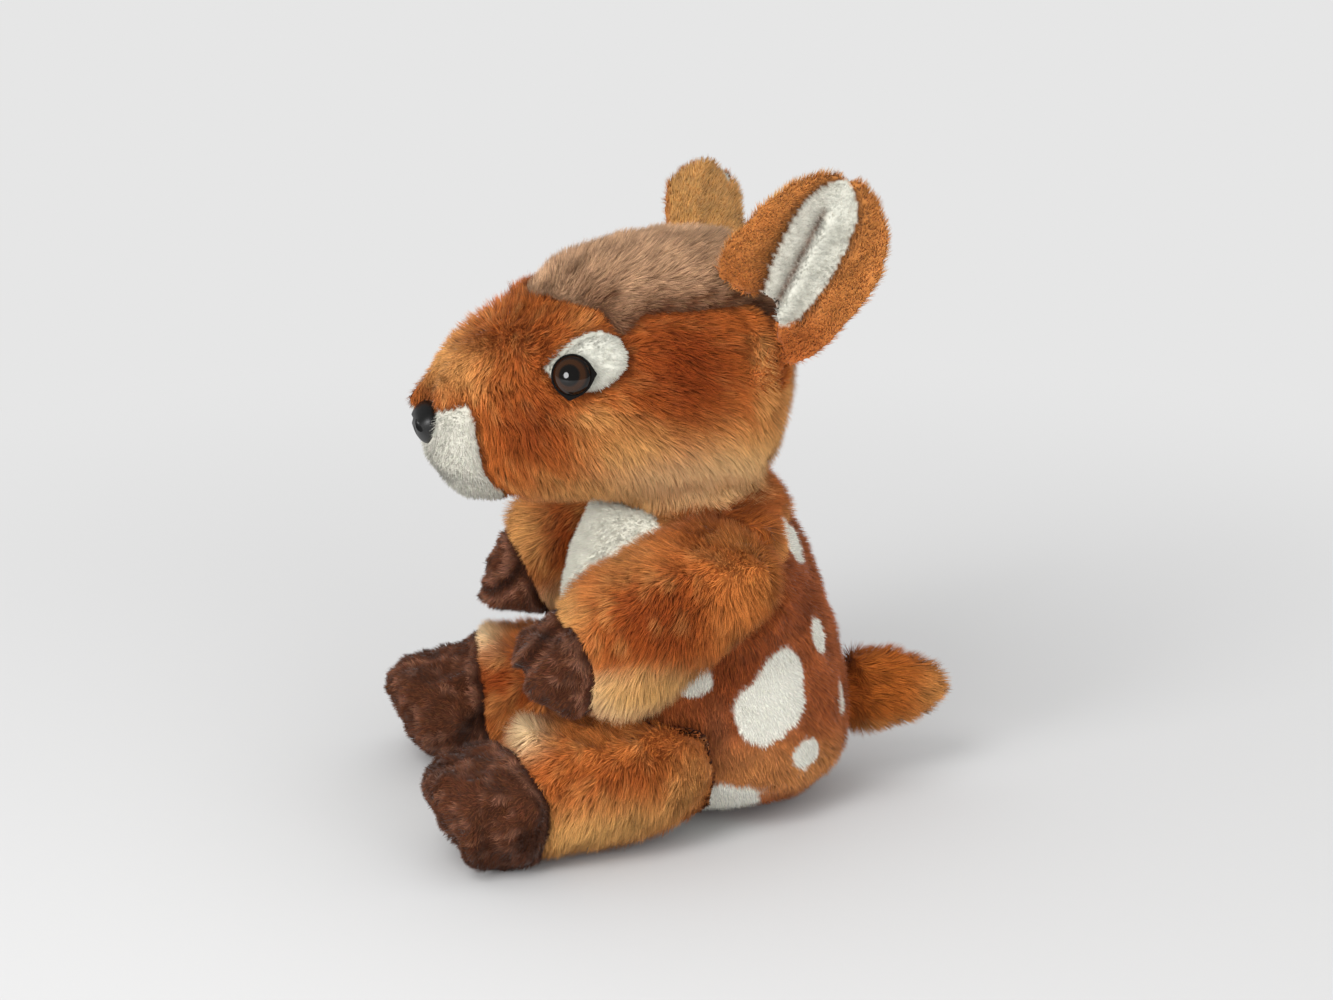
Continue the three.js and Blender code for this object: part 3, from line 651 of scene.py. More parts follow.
def set_sockets(node, **values):
    """Sets a node's input sockets, each named with _ for a space."""
    for name, value in values.items():
        node.inputs[name.replace("_", " ")].default_value = value
    return node


def new_node(tree, kind, **values):
    return set_sockets(tree.nodes.new(f"ShaderNode{kind}"), **values)


def plain_material(name, **values):
    material = bpy.data.materials.new(name)
    material.use_nodes = True
    set_sockets(material.node_tree.nodes["Principled BSDF"], **values)
    return material


def grained(material, scale, detail, strength, depth):
    """Adds a fine bump to a material, its depth in millimetres."""
    tree = material.node_tree
    grain = new_node(tree, "TexNoise", Scale=scale, Detail=detail)
    bump = new_node(tree, "Bump", Strength=strength, Distance=depth * MM)
    tree.links.new(new_node(tree, "TexCoord").outputs["Object"], grain.inputs["Vector"])
    tree.links.new(grain.outputs["Fac"], bump.inputs["Height"])
    tree.links.new(bump.outputs["Normal"], tree.nodes["Principled BSDF"].inputs["Normal"])
    return material


def pile_material(name, roughness, sheen):
    material = plain_material(
        name, Roughness=roughness, Specular_IOR_Level=0.12, Sheen_Weight=sheen, Sheen_Roughness=0.45
    )
    tree = material.node_tree
    tint = new_node(tree, "Attribute")
    tint.attribute_name = "tint"
    tree.links.new(tint.outputs["Color"], tree.nodes["Principled BSDF"].inputs["Base Color"])
    return material


def backing_material(name):
    """Knitted cloth under the pile, with the loops that hold it."""
    cloth = pile_material(name, roughness=0.95, sheen=0.2)
    return grained(cloth, scale=1400, detail=3, strength=0.6, depth=0.4)


def moulded_material(name, colour, roughness, specular):
    return plain_material(
        name, Base_Color=(*colour, 1), Roughness=roughness, Specular_IOR_Level=specular
    )


def shared_material(name, make, *words):
    return bpy.data.materials.get(name) or make(name, *words)


def tinted(mesh, colours):
    layer = mesh.color_attributes.new("tint", "FLOAT_COLOR", "POINT")
    opaque = np.ones((len(colours), 4), dtype=np.float32)
    opaque[:, :3] = np.clip(colours, 0, 1)
    layer.data.foreach_set("color", opaque.ravel())


# A tuft is a closed spike: three corners at the root and a tip.
SPIKE_FACES = np.array([[0, 1, 2], [3, 1, 0], [3, 2, 1], [3, 0, 2]])
SPIKE_MAP = np.array([[0.25, 0.15], [0.75, 0.15], [0.5, 0.2], [0.5, 0.9]])
DYE_STEPS = 44  # shades that a dye is rounded to, so that tufts of one shade share a patch of the map
GAMMA = 2.2
LENGTH_SPREAD = (0.72, 1.18)  # the shortest and the longest tuft, as shares of the pile's length
WIDTH_SPREAD = (0.75, 1.2)
LIE_NOISE, LIE_WAVE = 9, 8  # degrees
LOCK_SIZE = 0.42  # a lock's width, as a share of the pile's length
LOCK_NOISE, TUFT_NOISE = 0.1, 0.22  # how far the shade of a lock and of a tuft varies
ROOT_DEPTH = 0.4  # how deep a tuft starts in the cloth
PALE = (0.3, 0.6)  # from a brown that shows its roots and its noise to a white that doesn't
PALE_ROOT, PALE_TIP = 0.94, 1.01
ROUNDEST = 3  # past this a tuft is lit by its own faces, and not as part of a soft coat
TRIM = 0.45  # length of the tufts in a seam, as a share


def shade_patches(shades):
    """Rounds the shades and gives each tuft the patch of its shade on a square map."""
    steps = np.round(np.clip(shades, 0, 1) ** (1 / GAMMA) * DYE_STEPS)
    found, patch = np.unique(steps, axis=0, return_inverse=True)
    patch = patch.ravel()
    across = math.ceil(math.sqrt(len(found)))
    corner = np.stack([patch % across, patch // across], 1) / across
    return (found[patch] / DYE_STEPS) ** GAMMA, corner, 1 / across


def tuft_mesh(name, pile, places, outward, flow, shades, lengths, seed):
    """The tufts of one kind of pile as a single mesh."""
    rng = np.random.default_rng(seed)
    tangle = settings().pile.tangle
    count = len(places)
    along = unit(flow - outward * (flow * outward).sum(1, keepdims=True))
    here = places / MM
    stray = np.radians(pile.stray) * tangle
    swing = stray * (ripple(here, 17, seed) + 0.8 * ripple(here, 6, seed + 1))
    swing += stray * 0.6 * rng.normal(size=count)
    side = np.cross(outward, along)
    along = along * np.cos(swing)[:, None] + side * np.sin(swing)[:, None]
    side = np.cross(outward, along)
    reach = pile.length * lengths * rng.uniform(*LENGTH_SPREAD, count) * MM
    lie = np.radians(pile.lie + LIE_NOISE * rng.normal(size=count) + LIE_WAVE * ripple(here, 9, seed + 2))
    rise = along * np.cos(lie)[:, None] + outward * np.sin(lie)[:, None]
    tip = places + reach[:, None] * rise
    # Locks: tufts of one small cell lean together at their tips.
    warped = here + 1.2 * np.stack([ripple(here, 5, seed + k) for k in (3, 4, 5)], 1)
    cells = np.floor(warped / (LOCK_SIZE * pile.length))
    _, lock = np.unique(cells.astype(np.int64), axis=0, return_inverse=True)
    lock = lock.ravel()
    size = np.bincount(lock)
    mean = np.stack([np.bincount(lock, weights=tip[:, k]) / size for k in range(3)], 1)[lock]
    tip += (mean - tip) * pile.clump
    lock_shade = rng.normal(size=len(size))[lock]
    dark = 1 - 0.7 * step_up(shades.mean(1), *PALE)
    noise = LOCK_NOISE * lock_shade + TUFT_NOISE * rng.normal(size=count)
    shades = shades * (1 + dark * noise)[:, None]
    shades, corner, patch = shade_patches(shades)

    width = pile.width * rng.uniform(*WIDTH_SPREAD, count)[:, None] * MM / 2
    base = places - outward * ROOT_DEPTH * MM
    points = np.stack([base - side * width, base + side * width, base + along * width * 1.2, tip], 1)
    # A pale tuft is as pale at its root, so that white pile shows no dark stripes.
    pale = step_up(shades.mean(1), *PALE)[:, None]
    levels = np.array([[pile.root] * 3 + [pile.tip]])
    levels = levels + (np.array([[PALE_ROOT] * 3 + [PALE_TIP]]) - levels) * pale
    corners = points.shape[1]
    triangles = (SPIKE_FACES[None] + corners * np.arange(count)[:, None, None]).reshape(-1, 3)

    mesh = bpy.data.meshes.new(name)
    mesh.vertices.add(count * corners)
    mesh.vertices.foreach_set("co", points.astype(np.float32).ravel())
    mesh.loops.add(len(triangles) * 3)
    mesh.loops.foreach_set("vertex_index", triangles.astype(np.int32).ravel())
    mesh.polygons.add(len(triangles))
    mesh.polygons.foreach_set("loop_start", np.arange(0, len(triangles) * 3, 3, dtype=np.int32))
    mesh.polygons.foreach_set("use_smooth", np.ones(len(triangles), dtype=bool))
    mesh.update(calc_edges=True)
    tinted(mesh, (shades[:, None] * levels[:, :, None]).reshape(-1, 3))
    layout = mesh.uv_layers.new(name="OFBake")
    places_on_map = (corner[:, None] + SPIKE_MAP[None] * patch).reshape(-1, 2)
    layout.data.foreach_set("uv", places_on_map[triangles.ravel()].astype(np.float32).ravel())
    soft = points - base[:, None]
    across = unit(soft - along[:, None] * (soft * along[:, None]).sum(2, keepdims=True))
    soft = unit(pile.round * across + outward[:, None])
    if pile.round < ROUNDEST:
        mesh.normals_split_custom_set_from_vertices(soft.reshape(-1, 3).tolist())
    return mesh


def pile_piece(name, body, meshes):
    """Joins tuft meshes into one piece of pile that rides on its body."""
    material = shared_material("plush_pile", pile_material, 0.85, 0.04)
    pieces = []
    for mesh in meshes:
        piece = bpy.data.objects.new(name, mesh)
        bpy.context.scene.collection.objects.link(piece)
        mesh.materials.append(material)
        pieces.append(piece)
    select_only(*pieces)
    if len(pieces) > 1:
        bpy.ops.object.join()
    whole = bpy.context.object
    whole.name = whole.data.name = name
    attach(whole, body)


def toward(shades, name, weight):
    """Shades drawn towards a dye, each by its own weight."""
    return shades + (dye_of(name) - shades) * weight[:, None]


def all_over(name, points):
    return np.tile(dye_of(name), (len(points), 1))


def tinted_by_strokes(shades, points, strokes):
    """Softly tints towards a dye round each place: place, spread, dye and strength. Most strokes are the
    fur's airbrushed colour; some are painted light or shade.
    """
    for place, spread, name, strength in strokes:
        shades = toward(shades, name, strength * np.exp(-(off_place(points, place, spread) ** 1.5)))
    return shades


def spotted(shades, points, spots, name):
    """Sews in clean-edged spots: place and half sizes."""
    wave = 1 + 0.06 * ripple(points, 8, 5)
    for place, spread in spots:
        far = np.sqrt(off_place(points, place, spread)) * wave
        shades = toward(shades, name, 1 - step_up(far, *SPOT_EDGE))
    return shades


# Painted shade along the seams, where the pile parts and the cloth is drawn in.
def darkened_seams(shades, distance, width, strength):
    return toward(shades, "thread", strength * hill(distance, 0, width))


def grow_pile(form, body, groups, flow, paint, seed, bare=None, hidden_in=(), thin_out=None, shear=None):
    """Grows the pile of a form: one piece for each group of panels."""
    rng = np.random.default_rng(seed)
    places, outward, numbers = rooted(form, rng, thin_out)
    keep = np.ones(len(places), dtype=bool)
    if bare is not None:
        keep &= ~bare(places / MM)
    for other, depth in hidden_in:
        keep &= ~FORMS[other].buries(places + outward * MM, depth)
    places, outward, numbers = places[keep], outward[keep], numbers[keep]
    distance = form.seam_distance(places)
    here = places / MM
    shades = paint(here, outward, numbers, distance)
    ways = flow(here, outward, numbers)
    kinds = np.array([KIND_OF_PANEL[panel] for panel in form.panels])[numbers]
    for order, (name, slot, panels, *half) in enumerate(groups):
        wanted = np.isin(numbers, [form.panels.index(panel) for panel in panels])
        if half:
            wanted &= here[:, 0] * half[0] >= 0
        meshes = []
        for kind, pile in piles().items():
            mine = wanted & (kinds == kind)
            if mine.any():
                trim = TRIM + (1 - TRIM) * step_up(distance[mine], 0, 0.8 * pile.length)
                if shear is not None:
                    trim = trim * shear(here[mine])
                tufts = (each[mine] for each in (places, outward, ways, shades))
                meshes.append(tuft_mesh(f"{name}_{kind}", pile, *tufts, trim, seed * 100 + order * 10))
        pile_piece(name, body, meshes)
    # The backing cloth takes the same dyes, darkened to the pile's root level: painted shade, as it shows
    # only in the gaps between the tufts.
    mesh = form.piece.data
    points = points_of(mesh) / MM
    cloth = paint(points, normals_of(mesh), form.numbers, form.seam_distance(points * MM))
    root = of_panels(form, lambda pile: pile.root)[form.numbers]
    tinted(mesh, cloth * root[:, None])


def dress_form(form, body, nodes):
    piece = form.piece
    piece.data.materials.append(shared_material("backing_cloth", backing_material))
    piece.data.shade_smooth()
    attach(piece, body)
    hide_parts(*nodes)


# Torso

SPOT_EDGE = (0.94, 1.06)  # shares of a spot's half sizes, from inside its edge to outside it
SHORN_EDGE = (1.2, 2.6)  # the same, squared, for the shorn pile
SHORN_LENGTH = 0.5
FRINGE_WIDTH, FRINGE_STRENGTH = 6, 0.5
PATCHINESS = 0.12
TORSO_PANELS = ("belly_panel", "shoulder_panel", "back_panel")
TORSO_INSIDE = ("body_stuffing", "pellet_bag")
BACK_SPOTS = (
    ((20, 26, 89), (9, 9, 10)),
    ((26, 32, 59), (4.5, 6, 7)),
    ((41, 9.5, 40), (11, 9.5, 10.5)),
    ((38, 16, 49.5), (8, 8.5, 9)),
    ((38, 16.5, 42.5), (8, 7, 9)),
    ((36, 24.5, 23.5), (6, 6, 5)),
    ((18, 41, 35), (4, 5, 8)),
    ((46, -5, 7), (25, 20, 11.5)),
    ((41, -12, 52), (6, 6, 6)),
)
LONE_SPOTS = (((-5, 38, 66), (6, 7, 6)), ((3, 31, 92), (5, 6, 5.5)), ((4, 43, 12), (6, 7, 5)))


def mirrored(rows):
    return tuple(((-row[0][0], *row[0][1:]), *row[1:]) for row in rows)


def mirrored_pushes(rows):
    return tuple(((-p[0], *p[1:]), spread, (-way[0], *way[1:])) for p, spread, way in rows)


ALL_SPOTS = BACK_SPOTS + mirrored(BACK_SPOTS) + LONE_SPOTS


def torso_flow(here, outward, numbers):
    ways = np.tile([0.0, 0.15, -1.0], (len(here), 1))
    low = here[:, 2] < 8
    ways[low] = np.stack([here[low, 0], here[low, 1], np.zeros(low.sum())], 1)
    return ways


TORSO_STROKES = (
    # Painted shade: deep rust under the jaw, where the head shades the shoulders.
    ((30, 0, 102), (40, 30, 12), "deep_rust", 0.35),
    # Painted light: amber on the shoulder behind each arm, which faces away from the lamps.
    ((36, 14, 84), (16, 14, 14), "amber", 0.6),
    ((30, 2, 66), (14, 14, 14), "gold", 0.35),
)
BACK_STROKES = (
    ((42, 2, 52), (16, 16, 22), "dark_chestnut", 0.75),
    ((30, 22, 72), (18, 14, 12), "dark_chestnut", 0.5),
    ((40, 10, 20), (16, 22, 12), "gold", 0.3),
    ((30, 34, 14), (20, 16, 12), "gold", 0.35),
    # Painted shade: umber in the crease between the back and each leg.
    ((46, -5, 35), (10, 5, 14), "umber", 0.55),
)


def torso_paint(here, outward, numbers, distance):
    belly, shoulder, back = (numbers == k for k in range(3))
    shades = np.empty((len(here), 3))
    shades[belly] = dye_of("chest")
    shades[shoulder] = dye_of("rust")
    shades[back] = dye_of("chestnut")
    coat = tinted_by_strokes(shades[shoulder], here[shoulder], TORSO_STROKES + mirrored(TORSO_STROKES))
    shades[shoulder] = toward(coat, "gold", FRINGE_STRENGTH * hill(distance[shoulder], 0, FRINGE_WIDTH))
    shades[back] = tinted_by_strokes(shades[back], here[back], BACK_STROKES + mirrored(BACK_STROKES))
    patchy = ripple(here, 7, 21) + 0.6 * ripple(here, 16, 22)
    shades *= (1 + PATCHINESS * patchy * ~belly)[:, None]
    behind = back | shoulder
    shades[behind] = spotted(shades[behind], here[behind], ALL_SPOTS, "spot")
    return shades


def shorn_spots(here):
    """The pile is shorn in the spots and round them, so that their edges are clean."""
    near = np.min([off_place(here, place, spread) for place, spread in ALL_SPOTS], axis=0)
    return SHORN_LENGTH + (1 - SHORN_LENGTH) * step_up(near, *SHORN_EDGE)


def torso_relabel(points, numbers, panels):
    """Carries the white of the belly up to the neck, in front of the shoulders."""
    half = np.interp(points[:, 2], (74, 86), (22, 34))
    high = (points[:, 2] > 74) & (points[:, 1] < -19) & (np.abs(points[:, 0]) < half)
    return np.where(high & (numbers == 1), 0, numbers)


SHOULDER_PUSH = (((38, 12, 97), (12, 12, 10), (7, 3, 2)),)
# The ring of padding about an arm's joint: its radius, its width and its height.
PAD_RADIUS, PAD_WIDTH, PAD_HEIGHT = 19, 8, 7.0
PAD_CENTRE = np.array([2.0, 84.0])  # along Y and Z


def padded_shoulders(form):
    """Fills the shoulders out in a ring about each arm's joint, so that the arm runs out of the trunk."""
    mesh = form.piece.data
    points = points_of(mesh)
    here = points / MM
    far = np.linalg.norm(here[:, 1:] - PAD_CENTRE, axis=1)
    ring = hill(far, PAD_RADIUS, PAD_WIDTH) * step_up(np.abs(here[:, 0]), 16, 34)
    points[:, 0] += np.sign(here[:, 0]) * PAD_HEIGHT * ring * MM
    place_points(mesh, points)


class FAWN_OT_torso(bpy.types.Operator):
    """Stuff the body: one seated cloth form under the belly, shoulder and back panels"""

    bl_idname = "fawn.torso"
    bl_label = "Body"

    def execute(self, context):
        nodes = TORSO_PANELS + TORSO_INSIDE
        form = shaped_form("torso_cloth", nodes, TORSO_PANELS, (), torso_relabel)
        padded_shoulders(form)
        pushed(form, SHOULDER_PUSH + mirrored_pushes(SHOULDER_PUSH))
        drawn_in(form)
        FORMS["torso"] = form
        dress_form(form, "torso", nodes)
        return {"FINISHED"}


class FAWN_OT_torso_pile(bpy.types.Operator):
    """Grow the body's pile: long on the shoulders, short and spotted on the back, white on the belly"""

    bl_idname = "fawn.torso_pile"
    bl_label = "Body pile"

    def execute(self, context):
        grow_pile(
            FORMS["torso"],
            "torso",
            (
                ("belly_pile", "chest_plush", ["belly_panel"]),
                ("shoulder_pile", "rust_plush", ["shoulder_panel"]),
                ("back_left_pile", "back_plush", ["back_panel"], SIDES["left"]),
                ("back_right_pile", "back_plush", ["back_panel"], SIDES["right"]),
            ),
            torso_flow,
            torso_paint,
            seed=11,
            hidden_in=(("head", 1.5), ("arm_left", 6), ("arm_right", 6), ("leg_left", 5), ("leg_right", 5)),
            thin_out=lambda here: np.where(here[:, 2] < 2.5, 0.15, 1.0),
            shear=shorn_spots,
        )
        return {"FINISHED"}


# Head

# Width and strength of the shadow along the seams, of the rust panels and of the crown.
HEAD_SHADOW, CROWN_SHADOW = (1.3, 0.6), (1.8, 0.5)
CROWN_BAND, CROWN_BAND_STRENGTH, CROWN_STRANDS = 8.5, 0.85, 0.32
# The numbers of the crown and the muzzle in the list of the head's panels, and the first eye patch's.
CROWN, MUZZLE, FIRST_PATCH = 2, 3, 4
HEAD_PANELS = (
    "head_side_left",
    "head_side_right",
    "crown_panel",
    "muzzle_panel",
    "eye_patch_left",
    "eye_patch_right",
)
# Outline of the white eye patch as seen from the side: ahead of the neck, and above it.
EYE_PATCH = (
    (54, 46.5), (49, 51.5), (43.5, 55.5), (38, 57), (33.5, 55.5),
    (31.5, 51.5), (32, 47.5), (35, 44), (39.5, 41), (45, 40), (50, 41.5),
)
EYES = {
    "left": ((34.55, -45.75, 144.75), (0.867, -0.412, 0.281)),
    "right": ((-24.75, -52.0, 144.75), (-0.748, -0.608, 0.267)),
}
NOSE = ((8.7, -84.2, 125.3), (0.105, -0.995, 0.0))


PATCH_INNER = 8  # an eye patch stays this far from the middle of the face
CROWN_BACK, CROWN_HALF = 4, 31  # the crown is widened down to its edge ahead of and inside these
MOUTH_RISE = 11.3


def inside_outline(ahead, rise, outline):
    inside = np.zeros(len(ahead), dtype=bool)
    for (a0, r0), (a1, r1) in zip(outline, outline[1:] + outline[:1], strict=True):
        crosses = (r0 > rise) != (r1 > rise)
        inside ^= crosses & (ahead < (a1 - a0) * (rise - r0) / (r1 - r0 + 1e-12) + a0)
    return inside


# Lower edge of the crown: places along the head, and the edge's height above the neck there.
CROWN_EDGE = (
    (-57, -52, -49, -41, -37, -33, -29, -26, 6, 16),
    (61.5, 63, 64, 63, 62, 55.5, 58.5, 61.5, 62, 55),
)
# The muzzle's white ends below a height at each place along the head, and ahead of a place at each height.
MUZZLE_TOP = ((-90, -84, -81, -75, -72), (30, 30.5, 32, 34.5, 35))
MUZZLE_BACK = ((0, 4, 12, 16, 27, 33, 36), (-56, -60.5, -68.5, -70.8, -72.8, -73.6, -74.4))


def head_relabel(points, numbers, panels):
    """Trims the crown and the eye patches to their sewn outlines."""
    seen = to_head(points)
    sides = [panels.index(f"head_side_{side}") for side in SIDES]
    beside = np.where(seen[:, 0] > 0, *sides)
    above = (seen[:, 2] > np.interp(seen[:, 1], *CROWN_EDGE)) & (seen[:, 1] > CROWN_EDGE[0][0])
    over = np.isin(numbers, sides) & above & (seen[:, 1] < CROWN_BACK) & (np.abs(seen[:, 0]) < CROWN_HALF)
    numbers = np.where(over, CROWN, np.where((numbers == CROWN) & ~above, beside, numbers))
    ahead = seen[:, 1] < np.interp(seen[:, 2], *MUZZLE_BACK)
    white = ahead & (seen[:, 2] < np.interp(seen[:, 1], *MUZZLE_TOP))
    numbers = np.where((numbers == MUZZLE) & ~white, beside, numbers)
    patched = inside_outline(-seen[:, 1], seen[:, 2], EYE_PATCH)
    for side, sign in SIDES.items():
        patch = panels.index(f"eye_patch_{side}")
        numbers[(numbers == patch) & ~patched] = panels.index(f"head_side_{side}")
        numbers[patched & (sign * seen[:, 0] > PATCH_INNER)] = patch
    return numbers


def head_flow(here, outward, numbers):
    seen = to_head(here)
    sideways, ahead, rise = np.sign(seen[:, 0]), -seen[:, 1], seen[:, 2]
    front = step_up(ahead, 52, 66)
    jaw = 1 - step_up(rise, 8, 30)
    rear = step_up(-ahead, -6, 14)
    top = step_up(rise, 50, 62)
    back = np.stack([0.2 * sideways * top, np.ones(len(here)), np.full(len(here), -0.25)], 1)
    down = np.stack([0.25 * sideways, 0.25 * np.ones(len(here)), -np.ones(len(here))], 1)
    weight = np.clip(np.maximum(front * (1 - 0.6 * top), np.maximum(jaw, rear * (1 - top))), 0, 1)
    ways = back * (1 - weight)[:, None] + down * weight[:, None]
    # Over the nose the pile hangs forward.
    over = step_up(ahead, 74, 82) * step_up(rise, 30, 36)
    ways = ways * (1 - over)[:, None] + np.array([0, -0.1, -1.0]) * over[:, None]
    return from_head(ways)


HEAD_STROKES = (
    ((37, -17, 48), (16, 19, 21), "deep_rust", 0.95),
    ((28, -60, 30), (14, 12, 14), "deep_rust", 0.85),
    ((38, -30, 14), (16, 16, 9), "cream", 0.4),
    ((22, -58, 54), (12, 10, 9), "deep_rust", 0.45),
    # Painted shade: seam brown in the groove between the lobes over the nose.
    ((-2.2, -87, 37), (3.2, 9, 9), "thread", 0.9),
    ((36, -33, 23), (14, 14, 9), "gold", 0.75),
    ((34, -42, 33), (12, 10, 4), "gold", 0.5),
    ((26, -34, 6), (26, 26, 10), "gold", 0.9),
    ((30, 4, 14), (20, 22, 15), "gold", 0.95),
    ((30, 22, 30), (18, 10, 20), "gold", 0.7),
    ((30, -8, 10), (22, 26, 12), "cream", 0.5),
    ((9, -78, 46), (12, 12, 9), "gold", 0.55),
    # Painted shade: seam brown in the crease before each ear's base.
    ((35, 3.2, 53), (6, 2.8, 9), "thread", 0.75),
    ((36, 10.5, 48), (6, 4, 10), "gold", 0.5),
    ((27, -45, 60), (8, 6, 4), "gold", 0.45),
    ((37, 10, 42), (10, 7, 12), "gold", 0.5),
)


def head_paint(here, outward, numbers, distance):
    seen = to_head(here)
    streaks = ripple(seen * np.array([1, 0.6, 1]), 4, 31) + 0.5 * ripple(seen, 12, 32)
    shades = toward(all_over("rust", here), "gold", 0.18 * np.clip(streaks, 0, 2))
    shades = tinted_by_strokes(shades, seen, HEAD_STROKES + mirrored(HEAD_STROKES))
    shades = darkened_seams(shades, distance, *HEAD_SHADOW)
    crown, muzzle, patch = numbers == CROWN, numbers == MUZZLE, numbers >= FIRST_PATCH
    strands = step_up(ripple(seen * np.array([1, 0.5, 1]), 2.6, 33), 0.1, 1.3)
    edge = hill(distance, 0, CROWN_BAND) * (1 - step_up(-seen[:, 1], 36, 48))
    dark = np.minimum(CROWN_STRANDS * strands + CROWN_BAND_STRENGTH * edge, 1)
    top = toward(all_over("taupe", here), "umber", dark)
    shades[crown] = darkened_seams(top, distance, *CROWN_SHADOW)[crown]
    # Painted shade: a soft grey line in the mouth's fold, under the muzzle's upper lip.
    mouth_shade = hill(seen[:, 2], MOUTH_RISE, 0.9) * step_up(-seen[:, 1], 66, 72)
    white = dye_of("muzzle") * (1 + 0.03 * ripple(seen, 8, 34) - 0.3 * mouth_shade)[:, None]
    shades[muzzle] = white[muzzle]
    shades[patch] = dye_of("felt")
    return shades


HEAD_PUSHES = (
    ((8, -84, 39), (7, 8, 6.5), (0, -4, -1)),
    ((-7, -84, 36), (6.5, 8, 6.5), (0, -7.5, -3)),
    ((0, -90, 38), (2.8, 9, 9), (0, 8.5, -0.4)),
    ((0, -74, 46), (20, 13, 9), (0, -0.6, 1.8)),
    ((0, -80, 4), (18, 12, 6), (0, 2.2, 0)),
    ((0, 26, 26), (32, 12, 20), (0, -3.5, 0)),
    ((0, -74, MOUTH_RISE), (18, 14, 2.2), (0, 2.0, 0)),
)
# The crease in front of an ear's base, and the swelling behind it.
EAR_BASE_PUSHES = (((34, 3, 53), (6, 2.2, 9), (-3.2, 0, 0)), ((35, 9, 50), (6, 4, 9), (1.8, 0, 0)))


def shorn_snout(here):
    seen = to_head(here)
    return 1 - 0.55 * step_up(-seen[:, 1], 66, 80) * step_up(seen[:, 2], 31, 36)


def away_from_face(here):
    """Where the moulded pieces stand, so no pile grows."""
    bare = np.zeros(len(here), dtype=bool)
    face = settings().face
    for place, _ in EYES.values():
        bare |= np.linalg.norm(here - np.array(place), axis=1) < face.eye_radius / MM * 0.98
    nose_reach = np.array([face.nose_width / 2, 12 * MM, face.nose_height / 2])
    bare |= np.linalg.norm((here - np.array(NOSE[0])) / nose_reach * MM, axis=1) < 0.92
    return bare


class FAWN_OT_head(bpy.types.Operator):
    """Stuff the head: one cloth form under the side, crown, muzzle and eye patch panels"""

    bl_idname = "fawn.head"
    bl_label = "Head"

    def execute(self, context):
        nodes = HEAD_PANELS + ("head_stuffing",)
        neck = ((0, -2, 97), (27, 27, 11))
        form = shaped_form("head_cloth", nodes, HEAD_PANELS, (neck,), head_relabel)
        pushes = HEAD_PUSHES + EAR_BASE_PUSHES + mirrored_pushes(EAR_BASE_PUSHES)
        pushed(form, pushes, to_head, from_head)
        drawn_in(form)
        FORMS["head"] = form
        dress_form(form, "head", nodes)
        return {"FINISHED"}


class FAWN_OT_head_pile(bpy.types.Operator):
    """Grow the head's pile: rust sides, a taupe crown, and short white pile on the muzzle and eye patches"""

    bl_idname = "fawn.head_pile"
    bl_label = "Head pile"

    def execute(self, context):
        grow_pile(
            FORMS["head"],
            "head",
            (
                ("head_left_pile", "rust_plush", ["head_side_left"]),
                ("head_right_pile", "rust_plush", ["head_side_right"]),
                ("crown_pile", "crown_plush", ["crown_panel"]),
                ("face_white_pile", "white_plush", ["muzzle_panel", "eye_patch_left", "eye_patch_right"]),
            ),
            head_flow,
            head_paint,
            seed=12,
            bare=away_from_face,
            hidden_in=(("torso", 1.0), ("ear_left", 2.0), ("ear_right", 2.0)),
            shear=shorn_snout,
        )
        return {"FINISHED"}


# Ears


LINING_NUMBER = 1  # in the list of an ear's panels
RIM_START, RIM_END = 16, 60  # along the ear, where a shadow runs round the lining
RIM_SHADOW = (2.1, 0.8)
EAR_DRAWN_SHARE = 0.35


def ear_front(seen):
    """How far out of the hollow an ear's front begins, across it; near the tip it lies lower."""
    return np.interp(np.abs(seen[:, 1]), *LINING_DEPTH) - 1.2 * step_up(seen[:, 2], 48, 58)


EAR_PUSHES = {
    "left": (((6, -18, 27), (7, 6, 12), (0.5, -5.5, -0.5)), ((3, -6, 60), (8, 14, 8), (0, 0, -1.5))),
    "right": (((6, -16, 42), (8, 8, 18), (0, 5, 0)), ((3, 0, 60), (8, 14, 8), (0, 0, -1.5))),
}


def ear_relabel(side):
    def relabel(points, numbers, panels):
        seen = to_ear(points, side)
        middle, share, _ = LINING_SET[side]
        front = seen[:, 0] > ear_front(seen)
        clear = (seen[:, 2] > 19) | (seen[:, 1] > -7) if side == "left" else seen[:, 2] > 15
        inside = np.abs(seen[:, 1] - middle) < lining_half(seen, -1) * share
        return np.where(inside & front & clear, LINING_NUMBER, 0)

    return relabel


def ear_flow(side):
    along = from_head(unit(np.array([EARS[side][1]], float)))[0]

    def flow(here, outward, numbers):
        return np.tile(along, (len(here), 1))

    return flow


